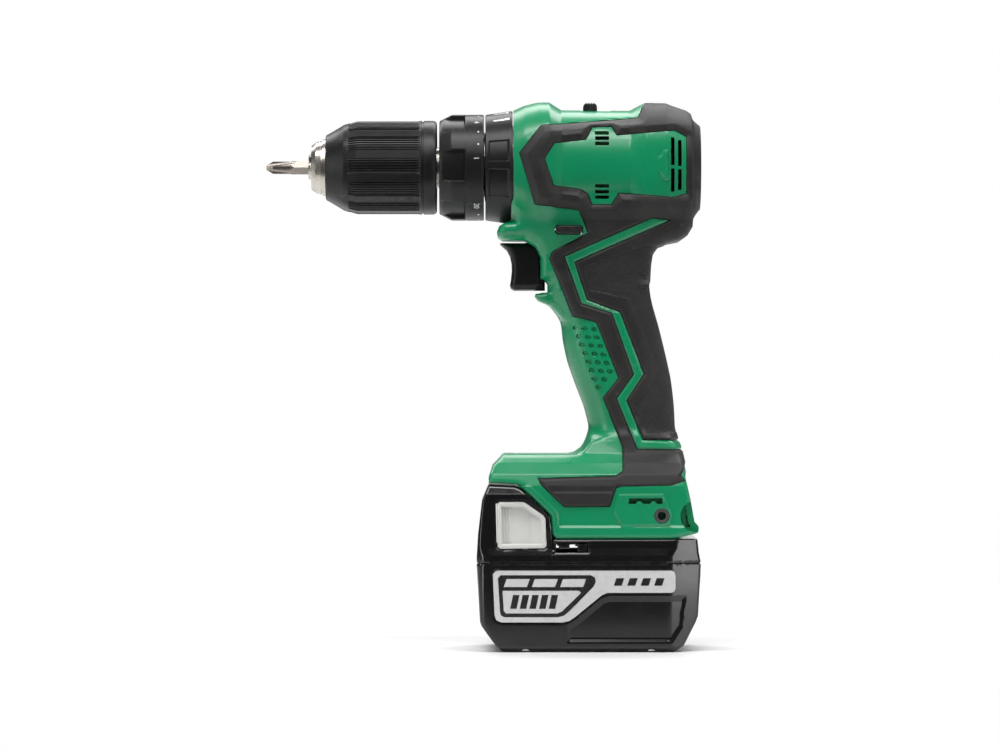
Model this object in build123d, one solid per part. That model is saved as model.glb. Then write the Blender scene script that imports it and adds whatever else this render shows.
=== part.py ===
"""Compact cordless drill driver with a keyless chuck and a slide-on battery.

Frame, in millimetres: the origin is the centre of the battery's flat underside. The chuck points
to -X, +Z is up, and the two housing halves meet at Y = 0. One STEP file is written for each node.
"""
import math
import os

from build123d import *

# Driving dimensions -----------------------------------------------------------------------------
AXIS_Z = 232.3            # height of the spindle axis above the battery's underside

# Fits and clearances
RUN_GAP = 0.05            # radial gap of a shaft turning in its bore
SLIP_GAP = 0.35           # gap between covers that move past each other
SEAT_GAP = 0.05           # gap round a piece that is clamped between the housing halves
RAIL_GAP = 0.4            # gap between the battery's rails and their grooves
GRIP_GAP = 0.05           # gap between a jaw and the bit's flat
AIR_GAP = 0.5             # gap between rotor and stator
BACKLASH = 0.16           # thinning of each gear tooth

# Gear train: two equal planetary stages in a drum
MODULE = 0.8
SUN_TEETH = 12
PLANET_TEETH = 15
PRESSURE_ANGLE = 25.0
PLANET_COUNT = 3
PLANET_PIN_R = 2.0
RING_RIM = 2.84           # metal behind the ring gears' tooth spaces
DRUM_WALL = 2.6
SELECTOR_TRAVEL = 5.0
RING_TEETH = SUN_TEETH + 2 * PLANET_TEETH
CASE_BORE_R = MODULE * (RING_TEETH / 2 + 1.2) + RING_RIM
CASE_R = CASE_BORE_R + DRUM_WALL
PLANET_ORBIT = MODULE * (SUN_TEETH + PLANET_TEETH) / 2

# Spindle, its bearing and the gear case nose that carries the clutch
SPINDLE_R = 6.0
BEARING_DEPTH = 5.0       # radial thickness of the front bearing
NOSE_WALL = 3.0
HUB_R = SPINDLE_R + 3.7   # chuck hub that passes through the torque ring
CAM_R = SPINDLE_R + 3.55
BEARING_R = SPINDLE_R + BEARING_DEPTH
NOSE_TUBE_R = BEARING_R + NOSE_WALL
COLLAR_R = NOSE_TUBE_R + 6.15      # collar that guides both rings
RING_BORE_R = NOSE_TUBE_R + 5.0    # bore of the torque ring

# Motor
STATOR_R = 23.4
STATOR_BORE_R = 13.4
STATOR_TEETH = 6
MOTOR_FRONT = 13.5
MOTOR_LENGTH = 23.0
SHAFT_R = 2.5
MOTOR_BEARING_R = 8.0
FAN_BLADES = 16
FAN_WIDTH = 5.2
ROTOR_R = STATOR_BORE_R - AIR_GAP
MOTOR_BACK = MOTOR_FRONT + MOTOR_LENGTH
FAN_R = STATOR_R - 3.4
FAN_FRONT = MOTOR_BACK + 2.9

# Housing
WALL = 3.0                # housing wall
SKIN = 1.5                # thickness of the soft moulded-on layer
CORE_ROOM = 1.2           # room between the motor and the housing wall
SIDE_HALF = 29.5          # half width of the motor barrel's flattened sides
GRIP_HALF = 17.0          # half width of the grip
BARREL_FRONT = -35.7      # front face of the housing, behind the mode ring
CAP_DEPTH = 5.5           # depth of the rear cap
RIB = 2.0                 # thickness of the ribs that hold the motor
SCREW_R = 1.6             # housing screws
BARREL_R = max(STATOR_R, CASE_R) + CORE_ROOM + WALL
UNDER_Z = AXIS_Z - BARREL_R        # underside of the barrel
CAP_FRONT = FAN_FRONT + FAN_WIDTH + 4.4
CAP_BACK = CAP_FRONT + CAP_DEPTH

# Rings
MODE_LENGTH = 13.25
TORQUE_LENGTH = 21.5
TORQUE_R = 25.65
RING_SPACE = 0.7          # space between the two rings
GRIP_POCKETS = 6
TORQUE_SETTINGS = 20
NUT_LENGTH = 5.5
NUT_TRAVEL = 5.0          # travel of the clutch spring nut over the torque ring's range
MODE_FRONT = BARREL_FRONT - SLIP_GAP - MODE_LENGTH
TORQUE_BACK = MODE_FRONT - RING_SPACE
TORQUE_FRONT = TORQUE_BACK - TORQUE_LENGTH
MODE_R_BACK = BARREL_R - 0.2
NOSE_X = TORQUE_FRONT + 2.1        # front of the gear case nose
NUT_FRONT = TORQUE_FRONT + 4.5
NUT_BACK = NUT_FRONT + NUT_LENGTH
CAM_X = MODE_FRONT - 2.7           # face of the fixed cam

# Chuck and bit
SLEEVE_R = 22.75          # outer radius of the chuck sleeve
SLEEVE_WALL = 3.4
SLEEVE_LENGTH = 53.7
SLEEVE_SPACE = 1.2        # space between sleeve and torque ring
SLEEVE_PANELS = 12
RIBS_PER_PANEL = 5
NOSE_REACH = 6.9          # steel nose in front of the sleeve
NOSE_R = 13.8
JAW_R = 3.6
JAW_LENGTH = 24.0
JAW_ANGLE = 15.0
JAW_TRAVEL = 12.8
JAW_TIP_R = 4.0           # distance of a jaw's centre line from the axis at its tip
BIT_FLATS = 6.35          # quarter inch hexagon
BIT_REACH = 21.9          # bit in front of the nose
SLEEVE_BACK = TORQUE_FRONT - SLEEVE_SPACE
SLEEVE_FRONT = SLEEVE_BACK - SLEEVE_LENGTH
SLEEVE_BORE_R = SLEEVE_R - SLEEVE_WALL
NOSE_FRONT = SLEEVE_FRONT - NOSE_REACH
SOCKET_X = SLEEVE_BACK - 19.3      # end of the spindle inside the chuck body
JAW_TIP_X = NOSE_FRONT - 1.5
BIT_TIP_X = NOSE_FRONT - BIT_REACH
BIT_END_X = SOCKET_X - 10.0

# Controls
TRIGGER_HALF = 9.6
TRIGGER_BACK = -20.5
TRIGGER_TRAVEL = 8.0
STEM_BACK = -12.0         # end of the trigger's stem
BUTTON_TRAVEL = 3.0
BUTTON_LENGTH = 13.0
BUTTON_HEIGHT = 3.8
BUTTON_GAP = 0.4          # gap between the reversing button and its slot
BUTTON_HALF = GRIP_HALF + 4.6 + BUTTON_TRAVEL + 1.9    # stands proud when pushed to one side
BUTTON_X = -9.1
BUTTON_Z = UNDER_Z - 3.1
KNOB_FRONT, KNOB_BACK, KNOB_HALF = -2.0, 4.7, 4.1
STALK_FRONT, STALK_BACK = -21.5, -18.5    # stalk from the knob into the ring gear's groove

# Battery: rows of round cells across the tool decide its size
CELL_R = 9.0
CELL_LENGTH = 65.0
CELL_GAP = 0.5
CELL_COLUMNS = 5
CELL_FLOOR = 1.4          # space under the cells
CELL_END_ROOM = 5.5       # from the cells' ends to the battery's sides
BOARD_ROOM = 13.4         # from the cells to the battery's top face
CASE_WALL = 2.4
PARTING_DROP = 11.7       # from the top face down to the parting of the two cases
FOOT_STEP = 3.0           # the foot is narrower than the battery by this on each side
RAIL_STEP = 10.2          # from the foot's side in to the rail's edge
RAIL_LIP = 4.0            # overhang of the rails
TERMINAL_HALF = 13.0      # half width of the terminal block
CASE_SCREW_R = 1.25
CELL_PITCH = 2 * CELL_R + CELL_GAP
BATTERY_HALF = CELL_LENGTH / 2 + CELL_END_ROOM
BATTERY_TOP = CASE_WALL + CELL_FLOOR + 2 * CELL_R + CELL_PITCH + BOARD_ROOM
PARTING_Z = BATTERY_TOP - PARTING_DROP
PACK_REAR = CELL_PITCH * (CELL_COLUMNS - 1) / 2 + CELL_R
PACK_FRONT = -PACK_REAR
FOOT_HALF = BATTERY_HALF - FOOT_STEP
RAIL_HEAD_HALF = FOOT_HALF - RAIL_STEP
RAIL_NECK_HALF = RAIL_HEAD_HALF - RAIL_LIP
RAIL_LIP_Z = BATTERY_TOP + 5.0
RAIL_TOP_Z = BATTERY_TOP + 12.8
RAIL_START_X = PACK_FRONT + 25.0
RAIL_END_X = PACK_REAR - 2.0
CASE_SCREW_X = PACK_REAR - 16.0
CASE_SCREW_Y = BATTERY_HALF - 3.9
HOOK_HOLE = (PACK_REAR - 11.0, BATTERY_TOP + 11.1)
GRIP_LOW = BATTERY_TOP + 46.3      # where the grip leaves the foot
GRIP_HIGH = UNDER_Z - 44.7         # where the grip meets the trigger's guard


# Outlines, as (x, z) or (x, radius) points -----------------------------------------------------
def shifted(points, x, z):
    """Points measured from a datum, moved to it."""
    return [(px + x, pz + z) for px, pz in points]


def hand(points):
    """Points on the grip, each height given as a share of the grip's length."""
    return [(x, GRIP_LOW + share * (GRIP_HIGH - GRIP_LOW)) for x, share in points]


BARREL = [*shifted([(0.0, 0.0), (5.4, 2.5), (11.6, 4.0), (17.2, 4.1), (23.1, 0.3)],
                   BARREL_FRONT, BARREL_R),
          *shifted([(-28.7, 0.0), (-21.3, 3.8), (-11.3, 3.6), (-1.2, -0.2), (1.4, -2.2),
                    (1.4, -5.6), (CAP_DEPTH, -9.2)], CAP_FRONT, BARREL_R)]
NECK = [*shifted([(0.0, 9.3), (-4.6, 2.0), (-7.7, -2.7), (-7.4, -6.2), (-4.9, -7.8), (5.4, -8.1)],
                 BARREL_FRONT, UNDER_Z),
        *shifted([(-25.3, -11.2), (-22.8, -16.1), (-22.8, -26.7), (29.3, -26.7), (29.9, -19.4),
                  (31.0, -14.6), (33.6, -11.2)], 0, UNDER_Z),
        *shifted([(-10.6, -8.7), (-5.1, -7.6), (-1.7, -5.3), (0.7, -1.3), (1.2, 5.7),
                  (1.2, 11.3)], CAP_FRONT, UNDER_Z)]
NECK_WIDTH = shifted([(8.0, 11.3), (5.0, -1.7), (1.2, -14.7), (0.0, -26.7)], GRIP_HALF, UNDER_Z)
GRIP = [  # front x and rear x with the height, then the half width
    (*shifted([(-22.8, -12.7), (31.0, -12.7)], 0, UNDER_Z), GRIP_HALF + 0.68),
    (*shifted([(-20.6, -32.7), (29.7, -32.7)], 0, UNDER_Z), GRIP_HALF),
    (*hand([(-12.8, 0.933), (34.3, 0.933)]), GRIP_HALF - 0.34),
    (*hand([(-9.6, 0.633), (38.4, 0.633)]), GRIP_HALF - 0.17),
    (*hand([(-1.7, 0.287), (41.5, 0.287)]), GRIP_HALF + 0.34),
    (*hand([(0.9, 0.033), (42.2, 0.033)]), GRIP_HALF + 1.36),
    (*shifted([(-8.0, 34.3), (44.5, 34.3)], 0, BATTERY_TOP), GRIP_HALF + 4.25)]
LIP = shifted([(-21.0, -33.1), (-25.0, -33.5), (-25.5, -34.8), (-23.7, -37.1), (-17.7, -40.1),
               (-10.0, -44.2), (-4.0, -44.2), (-4.0, -33.1)], 0, UNDER_Z)
FOOT = [*shifted([(5.2, 40.4), (0.4, 34.9), (-1.8, 29.0), (-1.5, 26.7), (11.5, 26.0),
                  (14.4, 24.9), (28.5, 11.2), (29.3, 2.3), (30.8, 0.4)], PACK_FRONT, BATTERY_TOP),
        *shifted([(-6.4, 0.4), (6.1, 3.4), (6.5, 6.4), (4.8, 8.2), (3.2, 17.1), (-1.4, 35.0)],
                 PACK_REAR, BATTERY_TOP),
        *shifted([(42.7, 42.7), (39.0, 46.3), (2.0, 46.3), (-2.0, 41.9), (-6.0, 40.4)],
                 0, BATTERY_TOP)]
FOOT_WIDTH = [*shifted([(0.0, -3.7), (0.0, 24.3), (-2.0, 30.3), (-8.0, 36.3)],
                       FOOT_HALF, BATTERY_TOP),
              *shifted([(3.0, 40.9), (1.0, 47.3)], GRIP_HALF, BATTERY_TOP)]
BATTERY = [*shifted([(1.5, 3.4), (4.8, 0.0)], PACK_FRONT, 0),
           *shifted([(-5.0, 0.0), (-0.5, 2.7), (5.4, 13.7), (6.6, 16.7)], PACK_REAR, 0),
           *shifted([(7.7, -18.5), (8.0, -11.8), (6.9, -6.6), (6.2, 0.0)],
                    PACK_REAR, BATTERY_TOP),
           *shifted([(29.1, 0.0), (28.7, 2.1), (27.8, 10.6), (14.0, 24.1), (11.0, 25.4),
                     (-1.7, 26.0), (-4.8, 18.6), (-6.7, 2.3), (-7.4, -8.8), (-7.4, -12.6)],
                    PACK_FRONT, BATTERY_TOP),
           *shifted([(-5.9, 14.5), (-5.2, 12.3)], PACK_FRONT, 0)]
BATTERY_WIDTH = [*shifted([(-1.2, 0.0), (0.0, 3.0)], BATTERY_HALF, 0),
                 *shifted([(0.0, -7.7), (-1.6, -3.7), (-1.6, 22.3), (-4.0, 26.8)],
                          BATTERY_HALF, BATTERY_TOP)]
TRIGGER = [(TRIGGER_BACK, UNDER_Z - 8.8),
           *shifted([(-42.0, -8.8), (-42.4, -9.4), (-38.8, -12.6), (-36.9, -16.8),
                     (-36.5, -22.5), (-37.2, -28.9), (-37.4, -29.9), (-35.6, -32.0)], 0, UNDER_Z),
           (TRIGGER_BACK, UNDER_Z - 32.0)]
SOFT_FRAME = [*shifted([(-32.9, 6.0), (-22.5, 19.4)], 0, AXIS_Z),
              *shifted([(-24.9, 23.3), (-18.6, 37.7), (11.0, 37.7)], CAP_FRONT, AXIS_Z),
              *hand([(60.0, 0.067)]),
              *shifted([(-2.0, 29.0), (0.3, 27.9), (-6.4, 25.6)], PACK_REAR, BATTERY_TOP),
              *shifted([(16.6, 25.2), (13.3, 24.5), (10.3, 15.6), (-11.5, 15.3), (-22.7, 26.0),
                        (-24.1, 29.0), (13.0, 30.1), (16.4, 32.4), (16.5, 43.6)],
                       0, BATTERY_TOP),
              *hand([(7.4, 0.352), (14.8, 0.51), (4.0, 0.957)]),
              *shifted([(-7.3, -44.3), (-18.5, -16.6), (-16.8, -13.2), (0.0, -4.5)], 0, UNDER_Z),
              *shifted([(-4.4, -21.2), (-25.5, -18.6)], 0, AXIS_Z)]
SIDE_PANEL = [*shifted([(-20.8, 3.4), (-16.0, 10.7), (-0.9, 12.5), (2.1, 18.5), (11.2, 18.9),
                        (13.8, 14.6)], 0, AXIS_Z),
              *shifted([(-7.5, 16.8), (-1.9, 13.8), (-1.9, -13.5), (-8.4, -15.2)],
                       CAP_FRONT, AXIS_Z),
              *shifted([(14.7, -13.0), (11.2, -18.6), (2.1, -18.6), (0.0, -13.5), (-3.5, -11.3),
                        (-16.5, -9.6)], 0, AXIS_Z)]
STRIPE = [*shifted([(38.5, 1.8), (30.7, 2.5), (-11.2, -15.7), (-3.0, -38.3), (11.7, -43.0)],
                   0, UNDER_Z),
          *hand([(22.1, 0.538), (13.9, 0.345)]),
          *shifted([(23.8, 42.8), (42.0, 42.3), (42.0, 46.6), (26.4, 47.1)], 0, BATTERY_TOP),
          *hand([(18.6, 0.33), (26.9, 0.538)]),
          *shifted([(15.6, -42.6), (-0.4, -36.5), (-6.4, -18.4)], 0, UNDER_Z)]
LABEL = [(PACK_FRONT + 0.4, PARTING_Z - 3.2), (PACK_REAR - 2.0, PARTING_Z - 3.2),
         (PACK_REAR - 2.0, PARTING_Z - 13.8), (7.0, PARTING_Z - 13.8), (-6.4, 16.7),
         (-12.3, 14.1), (PACK_FRONT + 4.1, 14.1), (PACK_FRONT + 1.5, 17.5)]
LATCH_WINDOW = shifted([(2.0, 18.0), (14.8, 18.0), (25.6, 10.4), (26.1, -4.4), (2.5, -4.9)],
                       PACK_FRONT, BATTERY_TOP)
LENS = shifted([(5.8, 40.9), (0.0, 35.0), (-0.6, 32.5), (4.0, 30.9), (10.0, 36.3), (10.0, 40.9)],
               PACK_FRONT, BATTERY_TOP)
HOUSING_SCREWS = [(CAP_FRONT - 12.5, UNDER_Z - 2.7), (BARREL_FRONT - 1.8, UNDER_Z - 2.7),
                  (24.0, UNDER_Z - 45.2), *hand([(-4.0, 0.85), (33.5, 0.35), (7.0, 0.167)]),
                  (PACK_FRONT + 20.0, BATTERY_TOP + 34.3), (PACK_REAR - 8.0, BATTERY_TOP + 36.3)]


# Shape helpers ----------------------------------------------------------------------------------
def side_prism(points, y_low, y_high, inset=0.0):
    """Extrude an (x, z) outline, drawn in by inset, from y_low to y_high."""
    face = make_face(Polyline([(x, 0, z) for x, z in points], close=True))
    if inset:
        face = offset(face, amount=-inset, kind=Kind.INTERSECTION)
    return Pos(0, y_low, 0) * extrude(face, amount=y_high - y_low, dir=(0, 1, 0))


def width_prism(half_points, inset=0.0):
    """Extrude along X a symmetric section given by its (half width, z) points."""
    right = [(0, half - inset, z) for half, z in half_points]
    left = [(0, -y, z) for _, y, z in reversed(right)]
    face = make_face(Polyline(right + left, close=True))
    return Pos(-100, 0, 0) * extrude(face, amount=200, dir=(1, 0, 0))


def turned(points):
    """Revolve an (x, radius) outline about the spindle axis."""
    face = make_face(Polyline([(x, 0, AXIS_Z + r) for x, r in points], close=True))
    return revolve(face, axis=Axis((0, 0, AXIS_Z), (1, 0, 0)))


def disc(x_low, x_high, radius, bore=0.0):
    """Plain ring or disc on the spindle axis."""
    if bore:
        return turned([(x_low, bore), (x_low, radius), (x_high, radius), (x_high, bore)])
    return turned([(x_low, 0), (x_low, radius), (x_high, radius), (x_high, 0)])


def block(x_low, x_high, y_low, y_high, z_low, z_high):
    """Box given by its limits."""
    return Pos(x_low, y_low, z_low) * Box(
        x_high - x_low, y_high - y_low, z_high - z_low, align=(Align.MIN,) * 3)


def cross_rod(x, z, y_low, y_high, radius):
    """Cylinder along Y."""
    middle = (y_low + y_high) / 2
    return Pos(x, middle, z) * Rot(90, 0, 0) * Cylinder(radius, y_high - y_low)


def capsule(length, height, half, grow=0.0):
    """Bar across the tool at the reversing button, with rounded ends, grown all round."""
    plane = Plane(origin=(BUTTON_X, 0, BUTTON_Z), x_dir=(1, 0, 0), z_dir=(0, 1, 0))
    return extrude(plane * SlotOverall(length + 2 * grow, height + 2 * grow), half, both=True)


def round_axis(solid, angle):
    """Turn a solid about the spindle axis by an angle in degrees."""
    return Pos(0, 0, AXIS_Z) * Rot(angle, 0, 0) * Pos(0, 0, -AXIS_Z) * solid


def join(solids):
    """Fuse a list of solids."""
    first, *rest = solids
    return first.fuse(*rest) if rest else first


def save(name, shape):
    """Write one node."""
    export_step(shape if isinstance(shape, Compound) else Compound(children=[shape]),
                f"parts/{name}.step")


# Gears ------------------------------------------------------------------------------------------
def involute_angle(base_radius, radius):
    """Polar angle of an involute at a radius."""
    if radius <= base_radius:
        return 0.0
    alpha = math.acos(base_radius / radius)
    return math.tan(alpha) - alpha


def gear_outline(teeth, tip_radius, root_radius, thinning, steps=5):
    """Points of a gear with a tooth centred on the local +Y axis direction of the section."""
    pitch_radius = MODULE * teeth / 2
    base_radius = pitch_radius * math.cos(math.radians(PRESSURE_ANGLE))
    half_tooth = math.pi / (2 * teeth) - thinning / (2 * pitch_radius)
    at_pitch = involute_angle(base_radius, pitch_radius)
    start_radius = max(root_radius, base_radius)
    points = []
    for tooth in range(teeth):
        centre = 2 * math.pi * tooth / teeth
        flank = []
        for step in range(steps + 1):
            radius = start_radius + (tip_radius - start_radius) * step / steps
            half = half_tooth + at_pitch - involute_angle(base_radius, radius)
            flank.append((radius, half))
        if root_radius < start_radius:
            flank.insert(0, (root_radius, flank[0][1]))
        points += [(r, centre - a) for r, a in flank]
        points += [(r, centre + a) for r, a in reversed(flank)]
    return points


def gear_prism(points, x_low, x_high, y_centre, z_centre, turn):
    """Extrude a gear outline along X about a centre, turned by an angle in degrees."""
    shift = math.radians(turn)
    ring = [(x_low, y_centre + r * math.cos(a + shift), z_centre + r * math.sin(a + shift))
            for r, a in points]
    return extrude(make_face(Polyline(ring, close=True)), amount=x_high - x_low, dir=(1, 0, 0))


def spur_gear(teeth, x_low, x_high, y_centre=0.0, z_centre=AXIS_Z, turn=0.0):
    """External gear."""
    pitch_radius = MODULE * teeth / 2
    points = gear_outline(teeth, pitch_radius + 0.9 * MODULE, pitch_radius - 1.25 * MODULE, BACKLASH)
    return gear_prism(points, x_low, x_high, y_centre, z_centre, turn)


def ring_gear(x_low, x_high, radius):
    """Internal gear with a tooth space towards +Y, so a planet's tooth fits there."""
    pitch_radius = MODULE * RING_TEETH / 2
    space = gear_outline(RING_TEETH, pitch_radius + 1.2 * MODULE, pitch_radius - 0.9 * MODULE,
                         -BACKLASH)
    return disc(x_low, x_high, radius) - gear_prism(space, x_low - 1, x_high + 1, 0, AXIS_Z, 0)


def planet_centre(index):
    """(y, z) of a planet's centre at rest."""
    angle = 2 * math.pi * index / PLANET_COUNT
    return PLANET_ORBIT * math.cos(angle), AXIS_Z + PLANET_ORBIT * math.sin(angle)


def planet(index, x_low, x_high):
    """Planet gear in mesh with the sun and the ring, bored for its pin."""
    y, z = planet_centre(index)
    turn = 360.0 * index / PLANET_COUNT + 180.0 - 180.0 / PLANET_TEETH
    bore = Pos((x_low + x_high) / 2, y, z) * Rot(0, 90, 0) * Cylinder(
        PLANET_PIN_R + RUN_GAP, x_high - x_low + 2)
    return spur_gear(PLANET_TEETH, x_low, x_high, y, z, turn) - bore


def carrier(x_low, x_high, pin_end):
    """Disc with one pin for each planet."""
    pins = []
    for index in range(PLANET_COUNT):
        y, z = planet_centre(index)
        length = pin_end - x_low
        pins.append(Pos(x_low + length / 2, y, z) * Rot(0, 90, 0) * Cylinder(PLANET_PIN_R, length))
    return join([disc(x_low, x_high, MODULE * RING_TEETH / 2 - 1.3)] + pins)


# Chuck, jaws and bit ------------------------------------------------------------------------------
def jaw_axis_point(distance):
    """(x, radius) on a jaw's centre line, measured back from its tip."""
    lean = math.radians(JAW_ANGLE)
    return JAW_TIP_X + distance * math.cos(lean), JAW_TIP_R + distance * math.sin(lean)


def jaw_rod(start, end, radius):
    """Cylinder along the centre line of the jaw that points to +Z."""
    x0, r0 = jaw_axis_point(start)
    x1, r1 = jaw_axis_point(end)
    plane = Plane(origin=((x0 + x1) / 2, 0, AXIS_Z + (r0 + r1) / 2), z_dir=(x1 - x0, 0, r1 - r0))
    return plane * Cylinder(radius, end - start)


def make_jaw(angle):
    """Jaw with a flat gripping face, a bevelled tip and thread grooves on its back."""
    rod = jaw_rod(-4, JAW_LENGTH, JAW_R)
    flat_r = BIT_FLATS / 2 + GRIP_GAP
    reach = (JAW_TIP_X - 15, JAW_TIP_X + 55)
    rod -= block(*reach, -10, 10, AXIS_Z - 20, AXIS_Z + flat_r)
    bevel_x = JAW_TIP_X + 5.8
    rod -= turned([(JAW_TIP_X - 10, 0), (JAW_TIP_X - 10, 20), (bevel_x, 20),
                   (bevel_x, JAW_TIP_R + 7.0), (JAW_TIP_X, JAW_TIP_R + 1.7), (JAW_TIP_X, 0)])
    for groove in range(4):
        x, r = jaw_axis_point(JAW_LENGTH - 2.5 - groove * 2.2)
        rod -= disc(x - 0.5, x + 0.5, 30, r + JAW_R - 0.55)
    for low, high in ((-10, 2.0 - JAW_R), (JAW_R - 2.0, 10)):
        rod -= block(*reach, low, high, AXIS_Z - 20, AXIS_Z + flat_r + 1.2)
    return round_axis(rod, angle)


def make_chuck_body():
    """Steel body: cone nose, jaw bores, rear hub and threaded socket for the spindle."""
    outer_r = SLEEVE_BORE_R - SLIP_GAP
    hub_back = TORQUE_FRONT + 1.3
    nose = shifted([(0, -3.2), (2.1, -1.6), (4.7, -0.8), (4.7, -1.3), (5.4, -1.3), (5.4, -0.1),
                    (7.3, 0.0)], NOSE_FRONT, NOSE_R)
    body = turned([(NOSE_FRONT, 0), *nose, (SLEEVE_FRONT + 14.9, outer_r),
                   (SLEEVE_BACK - 2.8, outer_r), (SLEEVE_BACK - 2.8, HUB_R), (hub_back, HUB_R),
                   (hub_back, 0)])
    body -= disc(NOSE_FRONT - 1, SOCKET_X, BIT_FLATS / 2 + 3.4)
    body -= disc(SOCKET_X - 1, hub_back + 1, SPINDLE_R + SEAT_GAP)
    for index in range(3):
        bore = jaw_rod(-8, JAW_LENGTH + JAW_TRAVEL + 4.2, JAW_R + RUN_GAP + 0.03)
        body -= round_axis(bore, 120.0 * index)
    return body - disc(SOCKET_X - 12, SOCKET_X - 8, outer_r + 1, outer_r - 0.8)


def make_sleeve():
    """Sleeve with ribbed panels between smooth ridges and a plain rear band."""
    shell = turned([(SLEEVE_FRONT, NOSE_R + 1.8), (SLEEVE_FRONT + 0.8, NOSE_R + 2.4),
                    (SLEEVE_FRONT + 7.9, SLEEVE_R - 2.45), (SLEEVE_FRONT + 14.9, SLEEVE_R),
                    (SLEEVE_BACK - 1.5, SLEEVE_R), (SLEEVE_BACK, SLEEVE_R - 1.75),
                    (SLEEVE_BACK, SLEEVE_BORE_R), (SLEEVE_FRONT + 14.4, SLEEVE_BORE_R),
                    (SLEEVE_FRONT, NOSE_R + 0.45)])
    cutters = []
    pitch = 360.0 / SLEEVE_PANELS
    for panel in range(SLEEVE_PANELS):
        for rib in range(RIBS_PER_PANEL):
            angle = pitch * (panel + (rib - (RIBS_PER_PANEL - 1) / 2) * 0.13)
            groove = block(SLEEVE_FRONT + 12.4, SLEEVE_BACK - 7.3, -0.45, 0.45,
                           AXIS_Z + SLEEVE_R - 0.8, AXIS_Z + SLEEVE_R + 2)
            cutters.append(round_axis(groove, angle))
    for x in (SLEEVE_BACK - 5.9, SLEEVE_BACK - 3.5):
        cutters.append(disc(x, x + 0.7, SLEEVE_R + 2, SLEEVE_R - 0.5))
    return shell.cut(*cutters)


def make_bit():
    """Double-ended style hex bit with a cross-shaped driving tip."""
    hexagon = RegularPolygon(BIT_FLATS / 2, 6, major_radius=False)
    plane = Plane(origin=(BIT_TIP_X, 0, AXIS_Z), x_dir=(0, 1, 0), z_dir=(1, 0, 0))
    bar = extrude(plane * hexagon, amount=BIT_END_X - BIT_TIP_X)
    shank_r = BIT_FLATS / 2
    bar &= turned([(BIT_TIP_X, 0), (BIT_TIP_X, 1.1), (BIT_TIP_X + 3.2, shank_r - 0.175),
                   (BIT_TIP_X + 11.5, shank_r - 0.075), (BIT_TIP_X + 14.0, shank_r * 1.2),
                   (BIT_END_X - 0.8, shank_r * 1.2), (BIT_END_X, shank_r - 0.175), (BIT_END_X, 0)])
    flutes = []
    for index in range(4):
        lean = Plane(origin=(BIT_TIP_X + 4.5, 0, AXIS_Z + shank_r + 0.325), z_dir=(1, 0, 0.16))
        flutes.append(round_axis(lean * Cylinder(1.75, 20), 45 + 90 * index))
    return bar.cut(*flutes)


# Rings --------------------------------------------------------------------------------------------
def make_torque_ring():
    """Clutch setting ring with six finger pockets and a row of setting marks."""
    web_back = TORQUE_FRONT + 1.6
    ring = turned([(TORQUE_FRONT, HUB_R + 0.9), (TORQUE_FRONT, TORQUE_R - 3.15),
                   (TORQUE_FRONT + 6.1, TORQUE_R), (TORQUE_BACK, TORQUE_R),
                   (TORQUE_BACK, RING_BORE_R), (web_back, RING_BORE_R), (web_back, HUB_R + 0.9)])
    cutters = []
    for index in range(GRIP_POCKETS):
        scoop = Pos(TORQUE_FRONT + 6.7, 0, AXIS_Z + TORQUE_R + 6.2) * Rot(0, 90, 0) * Cylinder(
            8.8, 12.6)
        cutters.append(round_axis(scoop, 90 + 360.0 / GRIP_POCKETS * index))
    for index in range(TORQUE_SETTINGS):
        mark = block(TORQUE_BACK - 2.6, TORQUE_BACK - 1.2, -0.4, 0.4, AXIS_Z + TORQUE_R - 0.35,
                     AXIS_Z + TORQUE_R + 2)
        cutters.append(round_axis(mark, 15 + 320 / TORQUE_SETTINGS * index))
    return ring.cut(*cutters)


def make_mode_ring():
    """Drill, drive and hammer selector ring with shallow flats round its rim."""
    bore, back = COLLAR_R + SLIP_GAP, BARREL_FRONT - SLIP_GAP
    ring = turned([(MODE_FRONT, bore), (MODE_FRONT, TORQUE_R - 0.4), (MODE_FRONT + 0.5, TORQUE_R),
                   (back - 0.55, MODE_R_BACK), (back, MODE_R_BACK - 0.4), (back, bore)])
    cutters = []
    for angle in (-74, 74, 106, 254):
        flat = block(MODE_FRONT + 1.8, back - 1.95, -5.5, 5.5, AXIS_Z + TORQUE_R - 0.25,
                     AXIS_Z + MODE_R_BACK + 5)
        cutters.append(round_axis(flat, angle))
    pointer = block(MODE_FRONT + 1.9, MODE_FRONT + 5.9, -0.7, 0.7, AXIS_Z + TORQUE_R - 0.7,
                    AXIS_Z + MODE_R_BACK + 5)
    return ring.cut(*cutters, pointer)


def make_cams():
    """Toothed discs of the hammer action, a little apart."""
    turning = disc(CAM_X - 5.0, CAM_X - 1.4, CAM_R - 0.55, SPINDLE_R)
    fixed = disc(CAM_X, CAM_X + 4.0, CAM_R, SPINDLE_R + 0.5)
    low_r, high_r = AXIS_Z + SPINDLE_R, AXIS_Z + CAM_R
    tooth = block(CAM_X - 1.5, CAM_X - 0.9, -0.7, 0.7, low_r + 0.6, high_r - 0.65)
    notch = block(CAM_X - 0.1, CAM_X + 0.6, -1.0, 1.0, low_r, high_r + 0.5)
    return (join([turning] + [round_axis(tooth, 30 * i) for i in range(12)]),
            fixed.cut(*[round_axis(notch, 30 * i) for i in range(12)]))


def make_spring_nut():
    """Nut on the gear case nose that loads the clutch spring."""
    nut = disc(NUT_FRONT, NUT_BACK, RING_BORE_R - SLIP_GAP, NOSE_TUBE_R + SLIP_GAP)
    keys = [round_axis(block(NUT_FRONT - 1, NUT_BACK + 1, -1.5, 1.5, AXIS_Z + RING_BORE_R - 1.4,
                             AXIS_Z + RING_BORE_R + 1), 120 * i) for i in range(3)]
    return nut.cut(*keys)


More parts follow.
